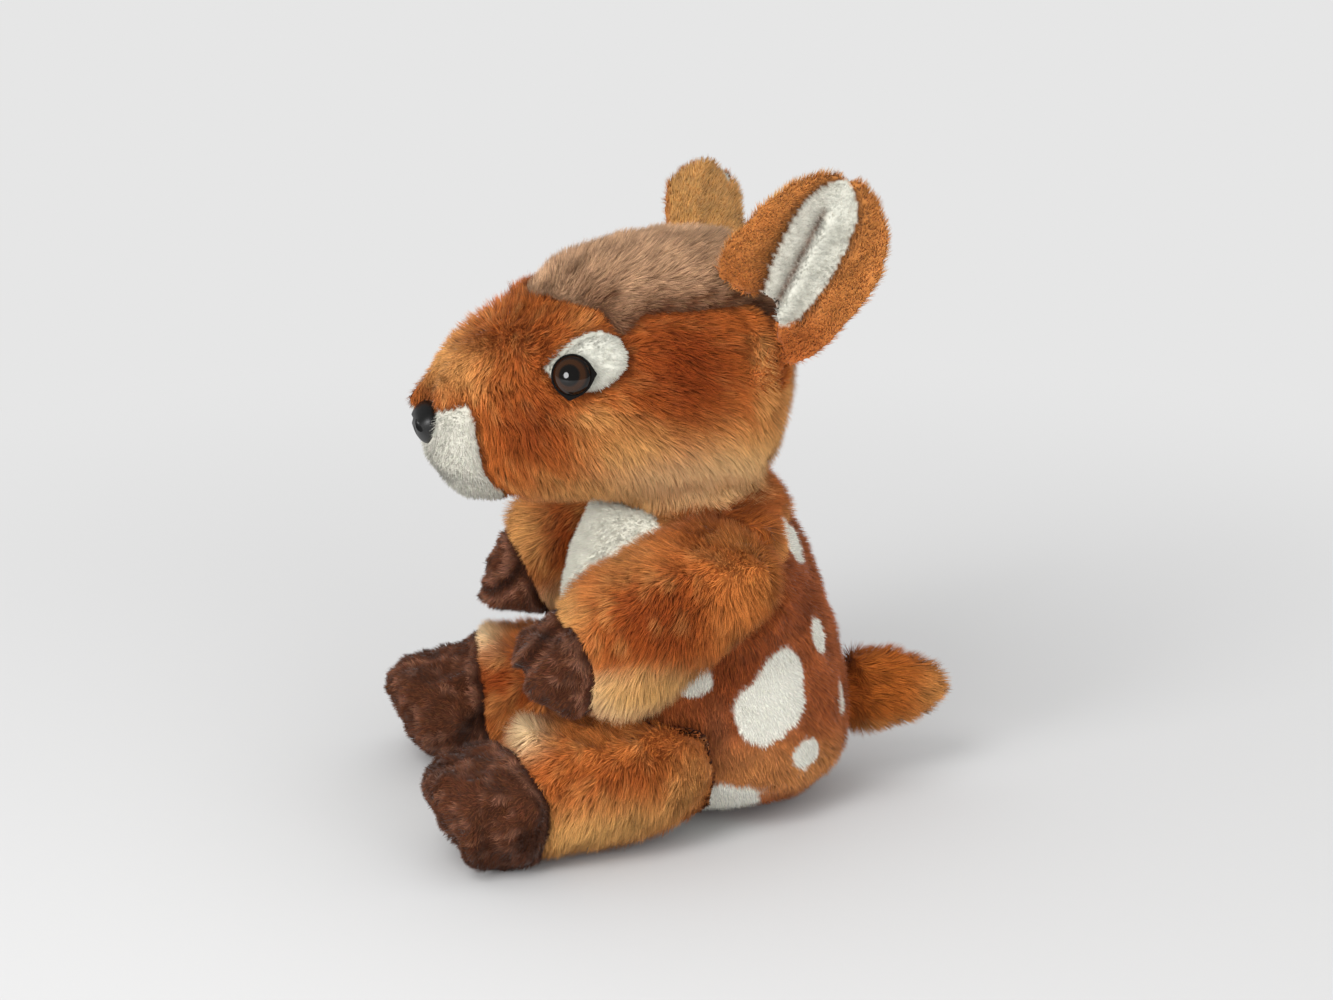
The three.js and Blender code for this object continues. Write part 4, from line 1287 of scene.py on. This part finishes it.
def ear_paint(side):
    bend = LINING_SET[side][2]

    def paint(here, outward, numbers, distance):
        seen = to_ear(here, side)
        front = step_up(seen[:, 0] - ear_front(seen), -0.8, 0.8)
        lit = (1 - front) * step_up(seen[:, 2], 10, 40)
        shades = toward(all_over("ear", here), "rust", 0.85 * (1 - step_up(seen[:, 2], 4, 34)))
        shades = toward(toward(shades, "rust", 0.55 * front), "gold", 0.75 * lit)
        shades *= (1 + 0.1 * ripple(here, 8, 41))[:, None]
        beside = (numbers != LINING_NUMBER) & (front > 0.6)
        rim = beside & (seen[:, 2] > RIM_START) & (seen[:, 2] < RIM_END)
        shades[rim] = darkened_seams(shades, distance, *RIM_SHADOW)[rim]
        # Painted shade: umber in the lining's fold, and a little more over the side of the fold that faces
        # away from the lamps.
        lining = toward(all_over("felt", here), "umber", 0.8 * fold_share(seen, bend, 1.0))
        shaded = step_up((bend - seen[:, 1]) * np.sign(-bend), -1, 2)
        inside = numbers == LINING_NUMBER
        shades[inside] = toward(lining, "umber", 0.14 * shaded)[inside]
        return shades

    return paint


def fold_share(seen, bend, width):
    """How far each point of an ear lies in the fold of its lining, from 0 to 1."""
    ends = step_up(seen[:, 2], 12, 18) * (1 - step_up(seen[:, 2], 46, 53))
    return hill(seen[:, 1], bend, width) * ends


def fold_lining(form, side):
    """Presses the fold into the lining and rolls the ear's edge round it."""
    mesh = form.piece.data
    points = points_of(mesh)
    seen = to_ear(points / MM, side)
    half = lining_half(seen, 0)
    middle, share, bend = LINING_SET[side]
    front = step_up(seen[:, 0], -1.5, 1.5)
    gap = np.abs(seen[:, 1] - middle) - half * share
    roll = hill(gap, 3.4, 2.6) * 1.5
    groove = hill(gap, 0, 1.1) * 0.4
    bulge = 1.6 * fold_share(seen, middle + 0.75 * (middle - bend), 3.0)
    fold = 2.0 * fold_share(seen, bend, 1.3)
    change = front * (roll + bulge - groove * (half > 1) - fold)
    place_points(mesh, points + normals_of(mesh) * change[:, None] * MM)
    pushed(form, EAR_PUSHES[side], lambda here: to_ear(here, side), lambda moves: from_ear(moves, side))
    form.mark_seams()


EAR_PLUG = (8.5, 8.5, 8.5)


class FAWN_OT_ears(bpy.types.Operator):
    """Sew the ears: cupped, with a folded lining"""

    bl_idname = "fawn.ears"
    bl_label = "Ears"

    def execute(self, context):
        for side in SIDES:
            panels = (f"ear_{side}", f"ear_lining_{side}")
            plug = (joint_place(f"ear_{side}_flop"), EAR_PLUG)
            form = shaped_form(
                f"ear_cloth_{side}", panels, panels, (plug,), ear_relabel(side), swell=False, thin=True
            )
            fold_lining(form, side)
            drawn_in(form, EAR_DRAWN_SHARE)
            FORMS[f"ear_{side}"] = form
            dress_form(form, f"ear_{side}_body", panels)
        return {"FINISHED"}


class FAWN_OT_ear_pile(bpy.types.Operator):
    """Grow the ears' pile: gold behind and round the rim, white in the lining"""

    bl_idname = "fawn.ear_pile"
    bl_label = "Ear pile"

    def execute(self, context):
        for seed, side in enumerate(SIDES, 13):
            grow_pile(
                FORMS[f"ear_{side}"],
                f"ear_{side}_body",
                (
                    (f"ear_{side}_pile", "rust_plush", [f"ear_{side}"]),
                    (f"ear_{side}_lining_pile", "white_plush", [f"ear_lining_{side}"]),
                ),
                ear_flow(side),
                ear_paint(side),
                seed=seed,
                hidden_in=(("head", 0.5),),
            )
        return {"FINISHED"}


# Arms and legs

HOOF = 1  # in the list of a limb's panels
HOOF_SHADOW = (1.7, 0.85)
# Painted highlight: a lighter band this far from the seams and the cleft, and its width. The strength serves
# the band and the worn mottling.
HIGHLIGHT_EDGE, HIGHLIGHT_WIDTH, WEAR_AND_HIGHLIGHT_STRENGTH = 3.2, 0.9, 0.5
# The end of each limb's middle line, which starts at its joint.
ARM_ENDS = {"left": (39.3, -60.5, 50.4), "right": (-39.4, -53.4, 47.4)}
LEG_ENDS = {"left": (45.5, -91.7, 18.1), "right": (-45.5, -91.7, 18.1)}
ARM_STROKES = (
    ((54, -24, 78), (14, 17, 13), "deep_rust", 0.85),
    # Painted shade: deep rust where the head shades the shoulder, and on the arm's inner side, which faces
    # the trunk.
    ((36, 2, 104), (16, 16, 8), "deep_rust", 0.15),
    ((27, -44, 78), (9, 20, 18), "deep_rust", 0.8),
    # Painted light: amber on the arm's upper end, which faces away from the lamps.
    ((52, 4, 92), (16, 12, 14), "amber", 0.95),
    ((40, -36, 92), (16, 20, 7), "gold", 0.35),
    ((48, -36, 55), (20, 22, 8), "cream", 1.0),
    ((50, -28, 57), (18, 18, 8), "gold", 0.95),
    ((40, -48, 74), (14, 8, 12), "gold", 0.75),
    # Painted light: amber on the arm's rear.
    ((54, -2, 74), (12, 9, 14), "amber", 0.6),
)
LEG_STROKES = (
    ((56, -36, 34), (12, 14, 8), "deep_rust", 0.45),
    # Painted shade: deep rust on the leg's inner side, which faces the trunk, and in the crease where the leg
    # meets the back.
    ((24, -58, 34), (9, 22, 12), "deep_rust", 0.8),
    ((46, -12, 42), (9, 5, 7), "deep_rust", 0.7),
    # Painted light: amber on the leg's top, in the arm's shade.
    ((50, -38, 43), (18, 20, 9), "amber", 0.95),
    ((44, -64, 44), (18, 10, 8), "cream", 1.0),
    ((44, -48, 48), (14, 14, 4), "cream", 0.6),
    ((58, -40, 12), (16, 32, 11), "gold", 1.0),
    ((56, -12, 20), (12, 10, 16), "gold", 0.55),
    ((22, -40, 12), (8, 26, 8), "gold", 0.2),
)
# Where each hoof's pile begins: heights, and how far along the limb from its joint.
HOOF_STARTS = {
    ("arm", "left"): ((45, 52, 60, 68, 80), (58, 55, 50.5, 48.8, 48)),
    ("arm", "right"): ((52, 60, 72), (53.5, 52, 49.5)),
    ("leg", "left"): ((8, 16, 24, 30, 36), (61.5, 60, 60.5, 62.5, 65)),
    ("leg", "right"): ((8, 16, 24, 30, 36), (60, 60, 60, 60.5, 61)),
}


JOINTS = {"arm": "shoulder", "leg": "hip"}


def limb_line(kind, side, ends):
    """Where a limb's middle line starts, and its way."""
    start = np.array(joint_place(f"{JOINTS[kind]}_{side}"), float)
    return start, unit(np.array(ends[side], float) - start)


def limb_relabel(kind, side, ends):
    start, way = limb_line(kind, side, ends)

    def relabel(points, numbers, panels):
        return ((points - start) @ way > np.interp(points[:, 2], *HOOF_STARTS[kind, side])).astype(int)

    return relabel


def limb_flow(kind, side, ends, droop):
    _, along = limb_line(kind, side, ends)

    def flow(here, outward, numbers):
        ways = np.tile(along, (len(here), 1)) + np.array([0, 0, -droop])
        ways[numbers == HOOF] = along
        return ways

    return flow


def limb_paint(strokes, side, seed):
    strokes = strokes if side == "left" else mirrored(strokes)

    def paint(here, outward, numbers, distance):
        shades = tinted_by_strokes(all_over("rust", here), here, strokes)
        streaks = ripple(here, 7, seed) + 0.6 * ripple(here, 16, seed + 1)
        shades = toward(shades, "gold", 0.15 * np.clip(streaks, 0, 2))
        worn = step_up(ripple(here, 4.5, seed + 2) + 0.5 * ripple(here, 12, seed + 3), 0.15, 1.6)
        hoof = toward(all_over("hoof", here), "hoof_light", WEAR_AND_HIGHLIGHT_STRENGTH * worn)
        hoof = darkened_seams(hoof, distance, *HOOF_SHADOW)
        # Painted highlight: the edges beside the seams and the cleft are lightened.
        hoof = toward(hoof, "hoof_light", WEAR_AND_HIGHLIGHT_STRENGTH * hill(distance, HIGHLIGHT_EDGE, HIGHLIGHT_WIDTH))
        shades[numbers == HOOF] = hoof[numbers == HOOF]
        return shades

    return paint


ARM_PUSHES = (
    ((42, 4, 104), (18, 16, 12), (-2, 0, -5)),
    ((42, -26, 96), (20, 16, 12), (0, 0, -0.5)),
    ((50, -34, 52), (14, 18, 8), (1, 0, -6.5)),
)
LEFT_HOOF_PUSHES = (((44, -56, 79), (14, 8, 7), (0, 3, -6.5)),)
RIGHT_HOOF_PUSHES = (
    ((-39, -48, 45), (14, 10, 8), (0, 0, 3)),
    ((-39, -60, 52), (14, 6, 8), (0, -2, -1)),
    ((-39, -57, 52), (14, 10, 12), (0, -3, 0)),
    ((-36, -48, 82), (12, 10, 12), (0, -3.5, 0)),
)
LEG_PUSHES = (
    ((45, -92, 31), (18, 8, 8), (0, -3.5, 0)),
    ((45, -90, 4), (18, 9, 12), (0, 4, 0.5)),
    ((45, -78, 40), (20, 13, 7), (0, 0, -4)),
    ((46, -34, 47), (16, 16, 7), (0, 0, -4)),
    ((42, -63, 42), (14, 6, 7), (0, -2.5, 4)),
)
# The plane between the toes of each left hoof: a place in it, its normal, and where it starts along the limb.
ARM_CLEFT = ((50, -59, 68), (0.34, 0.72, -0.6), 40)
LEG_CLEFT = ((45, -90, 18), (0.98, 0.19, 0), 80)


def cleft_distance(points, sign, cleft, joint):
    """Millimetres from the plane between the toes, and which points lie along it."""
    place, normal, start = cleft
    seen = points * np.array([sign, 1, 1])
    away = (seen - np.array(place)) @ unit(np.array(normal))
    along = np.linalg.norm(seen - np.array(joint) * np.array([sign, 1, 1]), axis=1)
    return away, along > start


CLEFT_DEPTH, CLEFT_WIDTH = 2.2, 1.7


def limbs(kind, ends, plug, pushes, cleft, rumples):
    for side, sign in SIDES.items():
        joint = joint_place(f"{JOINTS[kind]}_{side}")
        panels = (f"{kind}_{side}", f"{kind}_hoof_{side}")
        nodes = panels + (f"{kind}_stuffing_{side}",)
        plug_place, plug_radii = plug
        plug_here = ((sign * plug_place[0], *plug_place[1:]), plug_radii)

        def folds(points, numbers, sign=sign, joint=joint):
            away, toes = cleft_distance(points, sign, cleft, joint)
            return np.where((numbers == HOOF) & toes, np.sign(away), 0)

        relabel = limb_relabel(kind, side, ends)
        form = shaped_form(f"{kind}_cloth_{side}", nodes, panels, (plug_here,), relabel, folds)
        pushed(form, pushes if sign > 0 else mirrored_pushes(pushes))
        if kind == "arm":
            pushed(form, LEFT_HOOF_PUSHES if side == "left" else RIGHT_HOOF_PUSHES)
        mesh = form.piece.data
        points = points_of(mesh)
        hoof = form.numbers == HOOF
        away, toes = cleft_distance(points / MM, sign, cleft, joint)
        lumps = ripple(points / MM, 10, 51) * np.where(hoof, rumples, 0.4 * rumples)
        lumps -= CLEFT_DEPTH * hill(away, 0, CLEFT_WIDTH) * (hoof & toes)
        place_points(mesh, points + normals_of(mesh) * (evened(lumps, edges_of(mesh), 2) * MM)[:, None])
        drawn_in(form)
        FORMS[f"{kind}_{side}"] = form
        dress_form(form, f"{kind}_{side}_body", nodes)


def shorn_joint(here):
    """The pile is shorter where a limb lies against the trunk, low at its joint."""
    return 1 - 0.45 * step_up(here[:, 1], -20, -8) * (here[:, 2] < 48)


def limb_piles(kind, ends, strokes, droop, seed):
    for order, side in enumerate(SIDES):
        grow_pile(
            FORMS[f"{kind}_{side}"],
            f"{kind}_{side}_body",
            (
                (f"{kind}_{side}_pile", "rust_plush", [f"{kind}_{side}"]),
                (f"{kind}_hoof_{side}_pile", "hoof_plush", [f"{kind}_hoof_{side}"]),
            ),
            limb_flow(kind, side, ends, droop),
            limb_paint(strokes, side, seed * 10),
            seed=seed + order,
            hidden_in=(("torso", 1.0), ("head", 1.0)),
            shear=shorn_joint,
        )


class FAWN_OT_arms(bpy.types.Operator):
    """Stuff the arms, each with its cloven hoof"""

    bl_idname = "fawn.arms"
    bl_label = "Arms"

    def execute(self, context):
        limbs("arm", ARM_ENDS, ((34, 0, 84), (15, 15, 15)), ARM_PUSHES, ARM_CLEFT, 0.7)
        return {"FINISHED"}


class FAWN_OT_arm_pile(bpy.types.Operator):
    """Grow the arms' pile"""

    bl_idname = "fawn.arm_pile"
    bl_label = "Arm pile"

    def execute(self, context):
        limb_piles("arm", ARM_ENDS, ARM_STROKES, 0.6, 15)
        return {"FINISHED"}


class FAWN_OT_legs(bpy.types.Operator):
    """Stuff the legs, each with its big hoof"""

    bl_idname = "fawn.legs"
    bl_label = "Legs"

    def execute(self, context):
        limbs("leg", LEG_ENDS, ((26, -6, 24), (12, 12, 14)), LEG_PUSHES, LEG_CLEFT, 1.1)
        return {"FINISHED"}


class FAWN_OT_leg_pile(bpy.types.Operator):
    """Grow the legs' pile"""

    bl_idname = "fawn.leg_pile"
    bl_label = "Leg pile"

    def execute(self, context):
        limb_piles("leg", LEG_ENDS, LEG_STROKES, 0.9, 17)
        return {"FINISHED"}


# Tail

TAIL_STROKES = (
    ((0, 72, 26), (14, 10, 12), "gold", 0.45),
    ((0, 56, 18), (14, 20, 5), "gold", 0.4),
    ((0, 42, 32), (14, 7, 14), "deep_rust", 0.5),
)


def tail_flow(here, outward, numbers):
    return np.tile([0.0, 1.0, -0.25], (len(here), 1))


def tail_paint(here, outward, numbers, distance):
    shades = tinted_by_strokes(all_over("tail", here), here, TAIL_STROKES)
    return shades * (1 + 0.08 * ripple(here, 8, 61))[:, None]


class FAWN_OT_tail(bpy.types.Operator):
    """Stuff the tail"""

    bl_idname = "fawn.tail"
    bl_label = "Tail"

    def execute(self, context):
        nodes = ("tail", "tail_stuffing")
        form = shaped_form("tail_cloth", nodes, ("tail",), ((joint_place("tail_wag"), (9, 9, 9)),))
        drawn_in(form)
        FORMS["tail"] = form
        dress_form(form, "tail_body", nodes)
        return {"FINISHED"}


class FAWN_OT_tail_pile(bpy.types.Operator):
    """Grow the tail's pile"""

    bl_idname = "fawn.tail_pile"
    bl_label = "Tail pile"

    def execute(self, context):
        grow_pile(
            FORMS["tail"],
            "tail_body",
            (("tail_pile", "rust_plush", ["tail"]),),
            tail_flow,
            tail_paint,
            seed=19,
            hidden_in=(("torso", 1.0),),
        )
        return {"FINISHED"}


# Eyes, nose and washers


def standing(piece, place, axis):
    """Turns a piece so that its own +Z runs along an axis and +X stays level, and settles it in its place."""
    z = Vector(axis).normalized()
    x = Vector((0, 0, 1)).cross(z).normalized()
    y = z.cross(x)
    turn = Matrix((x, y, z)).transposed().to_4x4()
    select_only(piece)
    piece.matrix_world = Matrix.Translation(Vector(place) * MM) @ turn
    settle_in_mesh()


# Shares of the eye's radius: the pupil's edge, the iris from its dark start to its end, and the rim.
PUPIL_EDGE, IRIS_START, IRIS_END, DARK_RIM = 0.48, 0.58, 0.74, 0.86


def ringed_material(name):
    """Glossy plastic with a pupil, an iris ring and a dark rim, by the distance from the eye's middle."""
    material = moulded_material(name, dye_of("eye_black"), roughness=0.06, specular=0.4)
    tree = material.node_tree
    ring = new_node(tree, "Attribute")
    ring.attribute_name = "ring"
    ramp = new_node(tree, "ValToRGB")
    black, iris = (*dye_of("eye_black"), 1), (*dye_of("iris"), 1)
    stops = ramp.color_ramp.elements
    stops[0].position, stops[0].color = PUPIL_EDGE, black
    stops[1].position, stops[1].color = DARK_RIM, black
    for position in (IRIS_START, IRIS_END):
        stops.new(position).color = iris
    tree.links.new(ring.outputs["Fac"], ramp.inputs["Fac"])
    tree.links.new(ramp.outputs["Color"], tree.nodes["Principled BSDF"].inputs["Base Color"])
    return material


def felt_material(name):
    felt = moulded_material(name, dye_of("eye_black"), roughness=0.9, specular=0.2)
    return grained(felt, scale=2500, detail=2, strength=0.5, depth=0.2)


RIM_CORNERS = {"left": (8, -92), "right": (172, -88)}  # degrees in the eye's plane
RIM_INNER = 0.8  # where the felt starts under the eye, as a share of the eye's radius
CORNER_SPREAD = 13  # degrees
FELT_THICKNESS, FELT_RISE, FELT_SLOPE = 0.8, 0.6, 0.9


class FAWN_OT_eyes(bpy.types.Operator):
    """Mould the eyes: glossy domes with an iris ring, each on a felt rim with two pointed corners"""

    bl_idname = "fawn.eyes"
    bl_label = "Eyes"

    def execute(self, context):
        face = settings().face
        for side, (place, axis) in EYES.items():
            self.dome(side, place, axis, face)
            self.felt_rim(side, place, axis, face)
        return {"FINISHED"}

    def dome(self, side, place, axis, face):
        sphere = bpy.ops.mesh.primitive_uv_sphere_add
        dome = fresh(sphere, f"eye_dome_{side}", segments=64, ring_count=40, radius=face.eye_radius)
        with edit_mode():
            bpy.ops.transform.resize(value=(1, 1, face.eye_dome / face.eye_radius))
        out = np.linalg.norm(points_of(dome.data)[:, :2], axis=1) / face.eye_radius
        ring = dome.data.attributes.new("ring", "FLOAT", "POINT")
        ring.data.foreach_set("value", out.astype(np.float32))
        bpy.ops.object.shade_smooth()
        dome.data.materials.append(shared_material("eye_rings", ringed_material))
        standing(dome, place, axis)
        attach(dome, "head")
        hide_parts(f"eye_{side}")

    def felt_rim(self, side, place, axis, face):
        radius = face.eye_radius
        circle = bpy.ops.mesh.primitive_circle_add
        rim = fresh(circle, f"eye_rim_{side}", vertices=96, radius=radius * RIM_INNER, fill_type="NOTHING")
        with edit_mode():
            bpy.ops.mesh.select_all(action="SELECT")
            bpy.ops.mesh.extrude_edges_move(TRANSFORM_OT_translate={"value": (0, 0, 0)})
            bpy.ops.transform.resize(value=(1 / RIM_INNER, 1 / RIM_INNER, 1))
        points = points_of(rim.data)
        outer = np.linalg.norm(points[:, :2], axis=1) > radius * (1 + RIM_INNER) / 2
        angle = np.degrees(np.arctan2(points[:, 1], points[:, 0]))
        far = np.full(len(points), radius + face.rim_width)
        for corner in RIM_CORNERS[side]:
            off = (angle - corner + 180) % 360 - 180
            far += face.rim_corner * np.exp(-np.abs(off) / CORNER_SPREAD)
        points[outer, :2] = unit(points[outer, :2]) * far[outer, None]
        out = np.linalg.norm(points[:, :2], axis=1) / radius - 1
        points[:, 2] = FELT_RISE * MM - FELT_SLOPE * MM * out
        place_points(rim.data, points)
        solid = rim.modifiers.new("Felt", "SOLIDIFY")
        solid.thickness = FELT_THICKNESS * MM
        solid.offset = 0
        finish_modifiers(rim)
        with edit_mode():
            bpy.ops.mesh.select_all(action="SELECT")
            bpy.ops.mesh.normals_make_consistent(inside=False)
        rim.data.materials.append(shared_material("eye_felt", felt_material))
        standing(rim, place, axis)
        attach(rim, "head")


NOSTRIL_SHAPE, NOSTRIL_TURN = (1.5, 0.75, 1), -28
# A nostril's place: a share of the nose's width, millimetres up, and a share of its depth.
NOSTRIL_ASIDE, NOSTRIL_UP, NOSTRIL_OUT = 0.27, 0.4, 1.02


class FAWN_OT_nose(bpy.types.Operator):
    """Mould the nose, with its nostrils and the groove under them"""

    bl_idname = "fawn.nose"
    bl_label = "Nose"

    def execute(self, context):
        face = settings().face
        sphere = bpy.ops.mesh.primitive_uv_sphere_add
        nose = fresh(sphere, "nose_moulded", segments=48, ring_count=28, radius=1)
        # Shares of half the nose's width, half its height and its depth.
        x, y, z = points_of(nose.data).T
        narrow = 1 + 0.3 * y - 0.06 * y**2
        groove = 0.22 * hill(x, 0, 0.1) * step_up(-y, -0.1, 0.5)
        wings = 0.16 * np.exp(-(((np.abs(x) - 0.62) / 0.28) ** 2 + ((y - 0.1) / 0.4) ** 2))
        wide = x * narrow * face.nose_width / 2
        deep = (z * (1 - groove) + wings * (z > 0)) * face.nose_dome
        place_points(nose.data, np.stack([wide, y * face.nose_height / 2, deep], 1))
        for sign in SIDES.values():
            hole = fresh(sphere, "nostril", segments=20, ring_count=12, radius=face.nostril)
            hole.scale = NOSTRIL_SHAPE
            hole.rotation_euler = (0, 0, sign * math.radians(NOSTRIL_TURN))
            aside = sign * face.nose_width * NOSTRIL_ASIDE
            hole.location = (aside, NOSTRIL_UP * MM, face.nose_dome * NOSTRIL_OUT)
            settle_in_mesh()
            cut = nose.modifiers.new("Nostril", "BOOLEAN")
            cut.object = hole
            cut.operation = "DIFFERENCE"
            finish_modifiers(nose)
            bpy.data.objects.remove(hole)
        select_only(nose)
        bpy.ops.object.shade_smooth_by_angle(angle=math.radians(50))
        black = dye_of("nose_black")
        plastic = shared_material("nose_plastic", moulded_material, black, 0.12, 0.45)
        nose.data.materials.append(plastic)
        standing(nose, *NOSE)
        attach(nose, "head")
        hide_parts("nose")
        return {"FINISHED"}


class FAWN_OT_washers(bpy.types.Operator):
    """Finish the locking washers inside the head in plain moulded plastic"""

    bl_idname = "fawn.washers"
    bl_label = "Washers"

    def execute(self, context):
        material = moulded_material("washer_plastic", dye_of("washer"), roughness=0.5, specular=0.5)
        grained(material, scale=900, detail=2, strength=0.15, depth=0.1)
        for name in ("eye_left_washer", "eye_right_washer", "nose_washer"):
            frame["nodes"][name].data.materials.clear()
            frame["nodes"][name].data.materials.append(material)
        return {"FINISHED"}


# Stage

VIEW_TARGET = (0, -11.8, 94.3)
VIEW_AZIMUTH, VIEW_ELEVATION = 79, 18
VIEW_DISTANCE = 1100
VIEW_LENS, SENSOR = 99, 36
# Each lamp's width, azimuth, elevation and distance, in millimetres and degrees.
LAMPS = {"key": (600, 52, 48, 1300), "fill": (900, 112, 8, 1400), "front": (460, 37, 15.5, 1200)}
FLOOR_FADE = (0.14, 0.5)  # metres from the toy, from where the floor fades into the backdrop


def outward_way(azimuth, elevation):
    """The way from the toy to a lamp or the camera. Azimuth 0 is in front of it, and 90 at its left."""
    a, e = math.radians(azimuth), math.radians(elevation)
    return Vector((math.sin(a) * math.cos(e), -math.cos(a) * math.cos(e), math.sin(e)))


def aimed(thing, azimuth, elevation, distance):
    way = outward_way(azimuth, elevation)
    thing.location = Vector(VIEW_TARGET) * MM + way * distance * MM
    thing.rotation_euler = way.to_track_quat("Z", "Y").to_euler()


def seen_directly(tree):
    """1 for what the camera sees, also through a clear surface."""
    path = new_node(tree, "LightPath")
    either = new_node(tree, "Math")
    either.operation = "MAXIMUM"
    tree.links.new(path.outputs["Is Camera Ray"], either.inputs[0])
    tree.links.new(path.outputs["Is Transmission Ray"], either.inputs[1])
    return either.outputs[0]


def mixed(tree, share, first, second):
    """The output of a shader that goes from the first to the second by a share."""
    mix = new_node(tree, "MixShader")
    tree.links.new(share, mix.inputs["Fac"])
    tree.links.new(first, mix.inputs[1])
    tree.links.new(second, mix.inputs[2])
    return mix.outputs["Shader"]


class FAWN_OT_stage(bpy.types.Operator):
    """Set up the plain floor, the lamps and the camera"""

    bl_idname = "fawn.stage"
    bl_label = "Stage"

    def execute(self, context):
        stage = settings().stage
        scene = context.scene
        self.floor(stage)
        self.sky(stage)
        for name, (size, *place) in LAMPS.items():
            data = bpy.data.lights.new(f"{name}_lamp", "AREA")
            data.energy = getattr(stage, name)
            data.shape = "DISK"
            data.size = size * MM
            lamp = bpy.data.objects.new(f"{name}_lamp", data)
            lamp.visible_glossy = name == "front"
            scene.collection.objects.link(lamp)
            aimed(lamp, *place)
        lens = bpy.data.cameras.new("camera")
        lens.lens = VIEW_LENS
        lens.sensor_width = SENSOR
        lens.clip_start, lens.clip_end = 0.01, 100
        camera = bpy.data.objects.new("camera", lens)
        scene.collection.objects.link(camera)
        aimed(camera, VIEW_AZIMUTH, VIEW_ELEVATION, VIEW_DISTANCE)
        scene.camera = camera
        scene.view_settings.view_transform = "Standard"
        return {"FINISHED"}

    def floor(self, stage):
        circle = bpy.ops.mesh.primitive_circle_add
        floor = fresh(circle, "floor", vertices=96, radius=stage.floor_radius, fill_type="NGON")
        material = plain_material(
            "floor", Base_Color=(*stage.floor, 1), Roughness=1, Specular_IOR_Level=0
        )
        tree = material.node_tree
        far = new_node(tree, "Emission", Color=(*stage.backdrop, 1))
        distance = new_node(tree, "VectorMath")
        distance.operation = "LENGTH"
        fade = new_node(tree, "MapRange", From_Min=FLOOR_FADE[0], From_Max=FLOOR_FADE[1])
        fade.interpolation_type = "SMOOTHSTEP"
        both = new_node(tree, "Math")
        both.operation = "MULTIPLY"
        link = tree.links.new
        link(new_node(tree, "TexCoord").outputs["Object"], distance.inputs[0])
        link(distance.outputs["Value"], fade.inputs["Value"])
        link(fade.outputs["Result"], both.inputs[0])
        link(seen_directly(tree), both.inputs[1])
        near = tree.nodes["Principled BSDF"].outputs["BSDF"]
        surface = mixed(tree, both.outputs[0], near, far.outputs["Emission"])
        link(surface, tree.nodes["Material Output"].inputs["Surface"])
        floor.data.materials.append(material)

    def sky(self, stage):
        world = bpy.data.worlds.new("sky")
        world.use_nodes = True
        bpy.context.scene.world = world
        tree = world.node_tree
        light = set_sockets(tree.nodes["Background"], Color=(1, 1, 1, 1), Strength=stage.sky)
        mirrored_sky = new_node(tree, "Background", Strength=stage.mirrored)
        plain = new_node(tree, "Background", Color=(*stage.backdrop, 1))
        glossy = new_node(tree, "LightPath").outputs["Is Glossy Ray"]
        around = mixed(tree, glossy, light.outputs["Background"], mirrored_sky.outputs["Background"])
        surface = mixed(tree, seen_directly(tree), around, plain.outputs["Background"])
        tree.links.new(surface, tree.nodes["World Output"].inputs["Surface"])


OPERATORS = (
    FAWN_OT_torso,
    FAWN_OT_head,
    FAWN_OT_ears,
    FAWN_OT_arms,
    FAWN_OT_legs,
    FAWN_OT_tail,
    FAWN_OT_torso_pile,
    FAWN_OT_head_pile,
    FAWN_OT_ear_pile,
    FAWN_OT_arm_pile,
    FAWN_OT_leg_pile,
    FAWN_OT_tail_pile,
    FAWN_OT_eyes,
    FAWN_OT_nose,
    FAWN_OT_washers,
    FAWN_OT_stage,
)


class FAWN_PT_making(bpy.types.Panel):
    """The steps that make the fawn, in order, and the settings that they use"""

    bl_idname = "FAWN_PT_making"
    bl_label = "Plush Fawn"
    bl_space_type = "VIEW_3D"
    bl_region_type = "UI"
    bl_category = "Fawn"

    def draw(self, context):
        layout = self.layout
        fawn = context.scene.plush_fawn
        for title, group in (
            ("Dyes", fawn.dyes),
            ("Pile", fawn.pile),
            ("Stuffing", fawn.stuffing),
            ("Face", fawn.face),
            ("Stage", fawn.stage),
        ):
            box = layout.box()
            box.label(text=title)
            for name in group.bl_rna.properties.keys():
                if name not in ("rna_type", "name"):
                    box.prop(group, name)
        for operator in OPERATORS:
            layout.operator(operator.bl_idname)


CLASSES = (
    FawnDyes,
    FawnPile,
    FawnStuffing,
    FawnFace,
    FawnStage,
    FawnSettings,
    *OPERATORS,
    FAWN_PT_making,
)


def register():
    for cls in CLASSES:
        bpy.utils.register_class(cls)
    bpy.types.Scene.plush_fawn = PointerProperty(type=FawnSettings)


def unregister():
    del bpy.types.Scene.plush_fawn
    for cls in reversed(CLASSES):
        bpy.utils.unregister_class(cls)


def main():
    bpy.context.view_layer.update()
    register()
    for operator in OPERATORS:
        group, name = operator.bl_idname.split(".")
        getattr(getattr(bpy.ops, group), name)()
    bpy.context.view_layer.update()


if __name__ == "__main__":
    main()
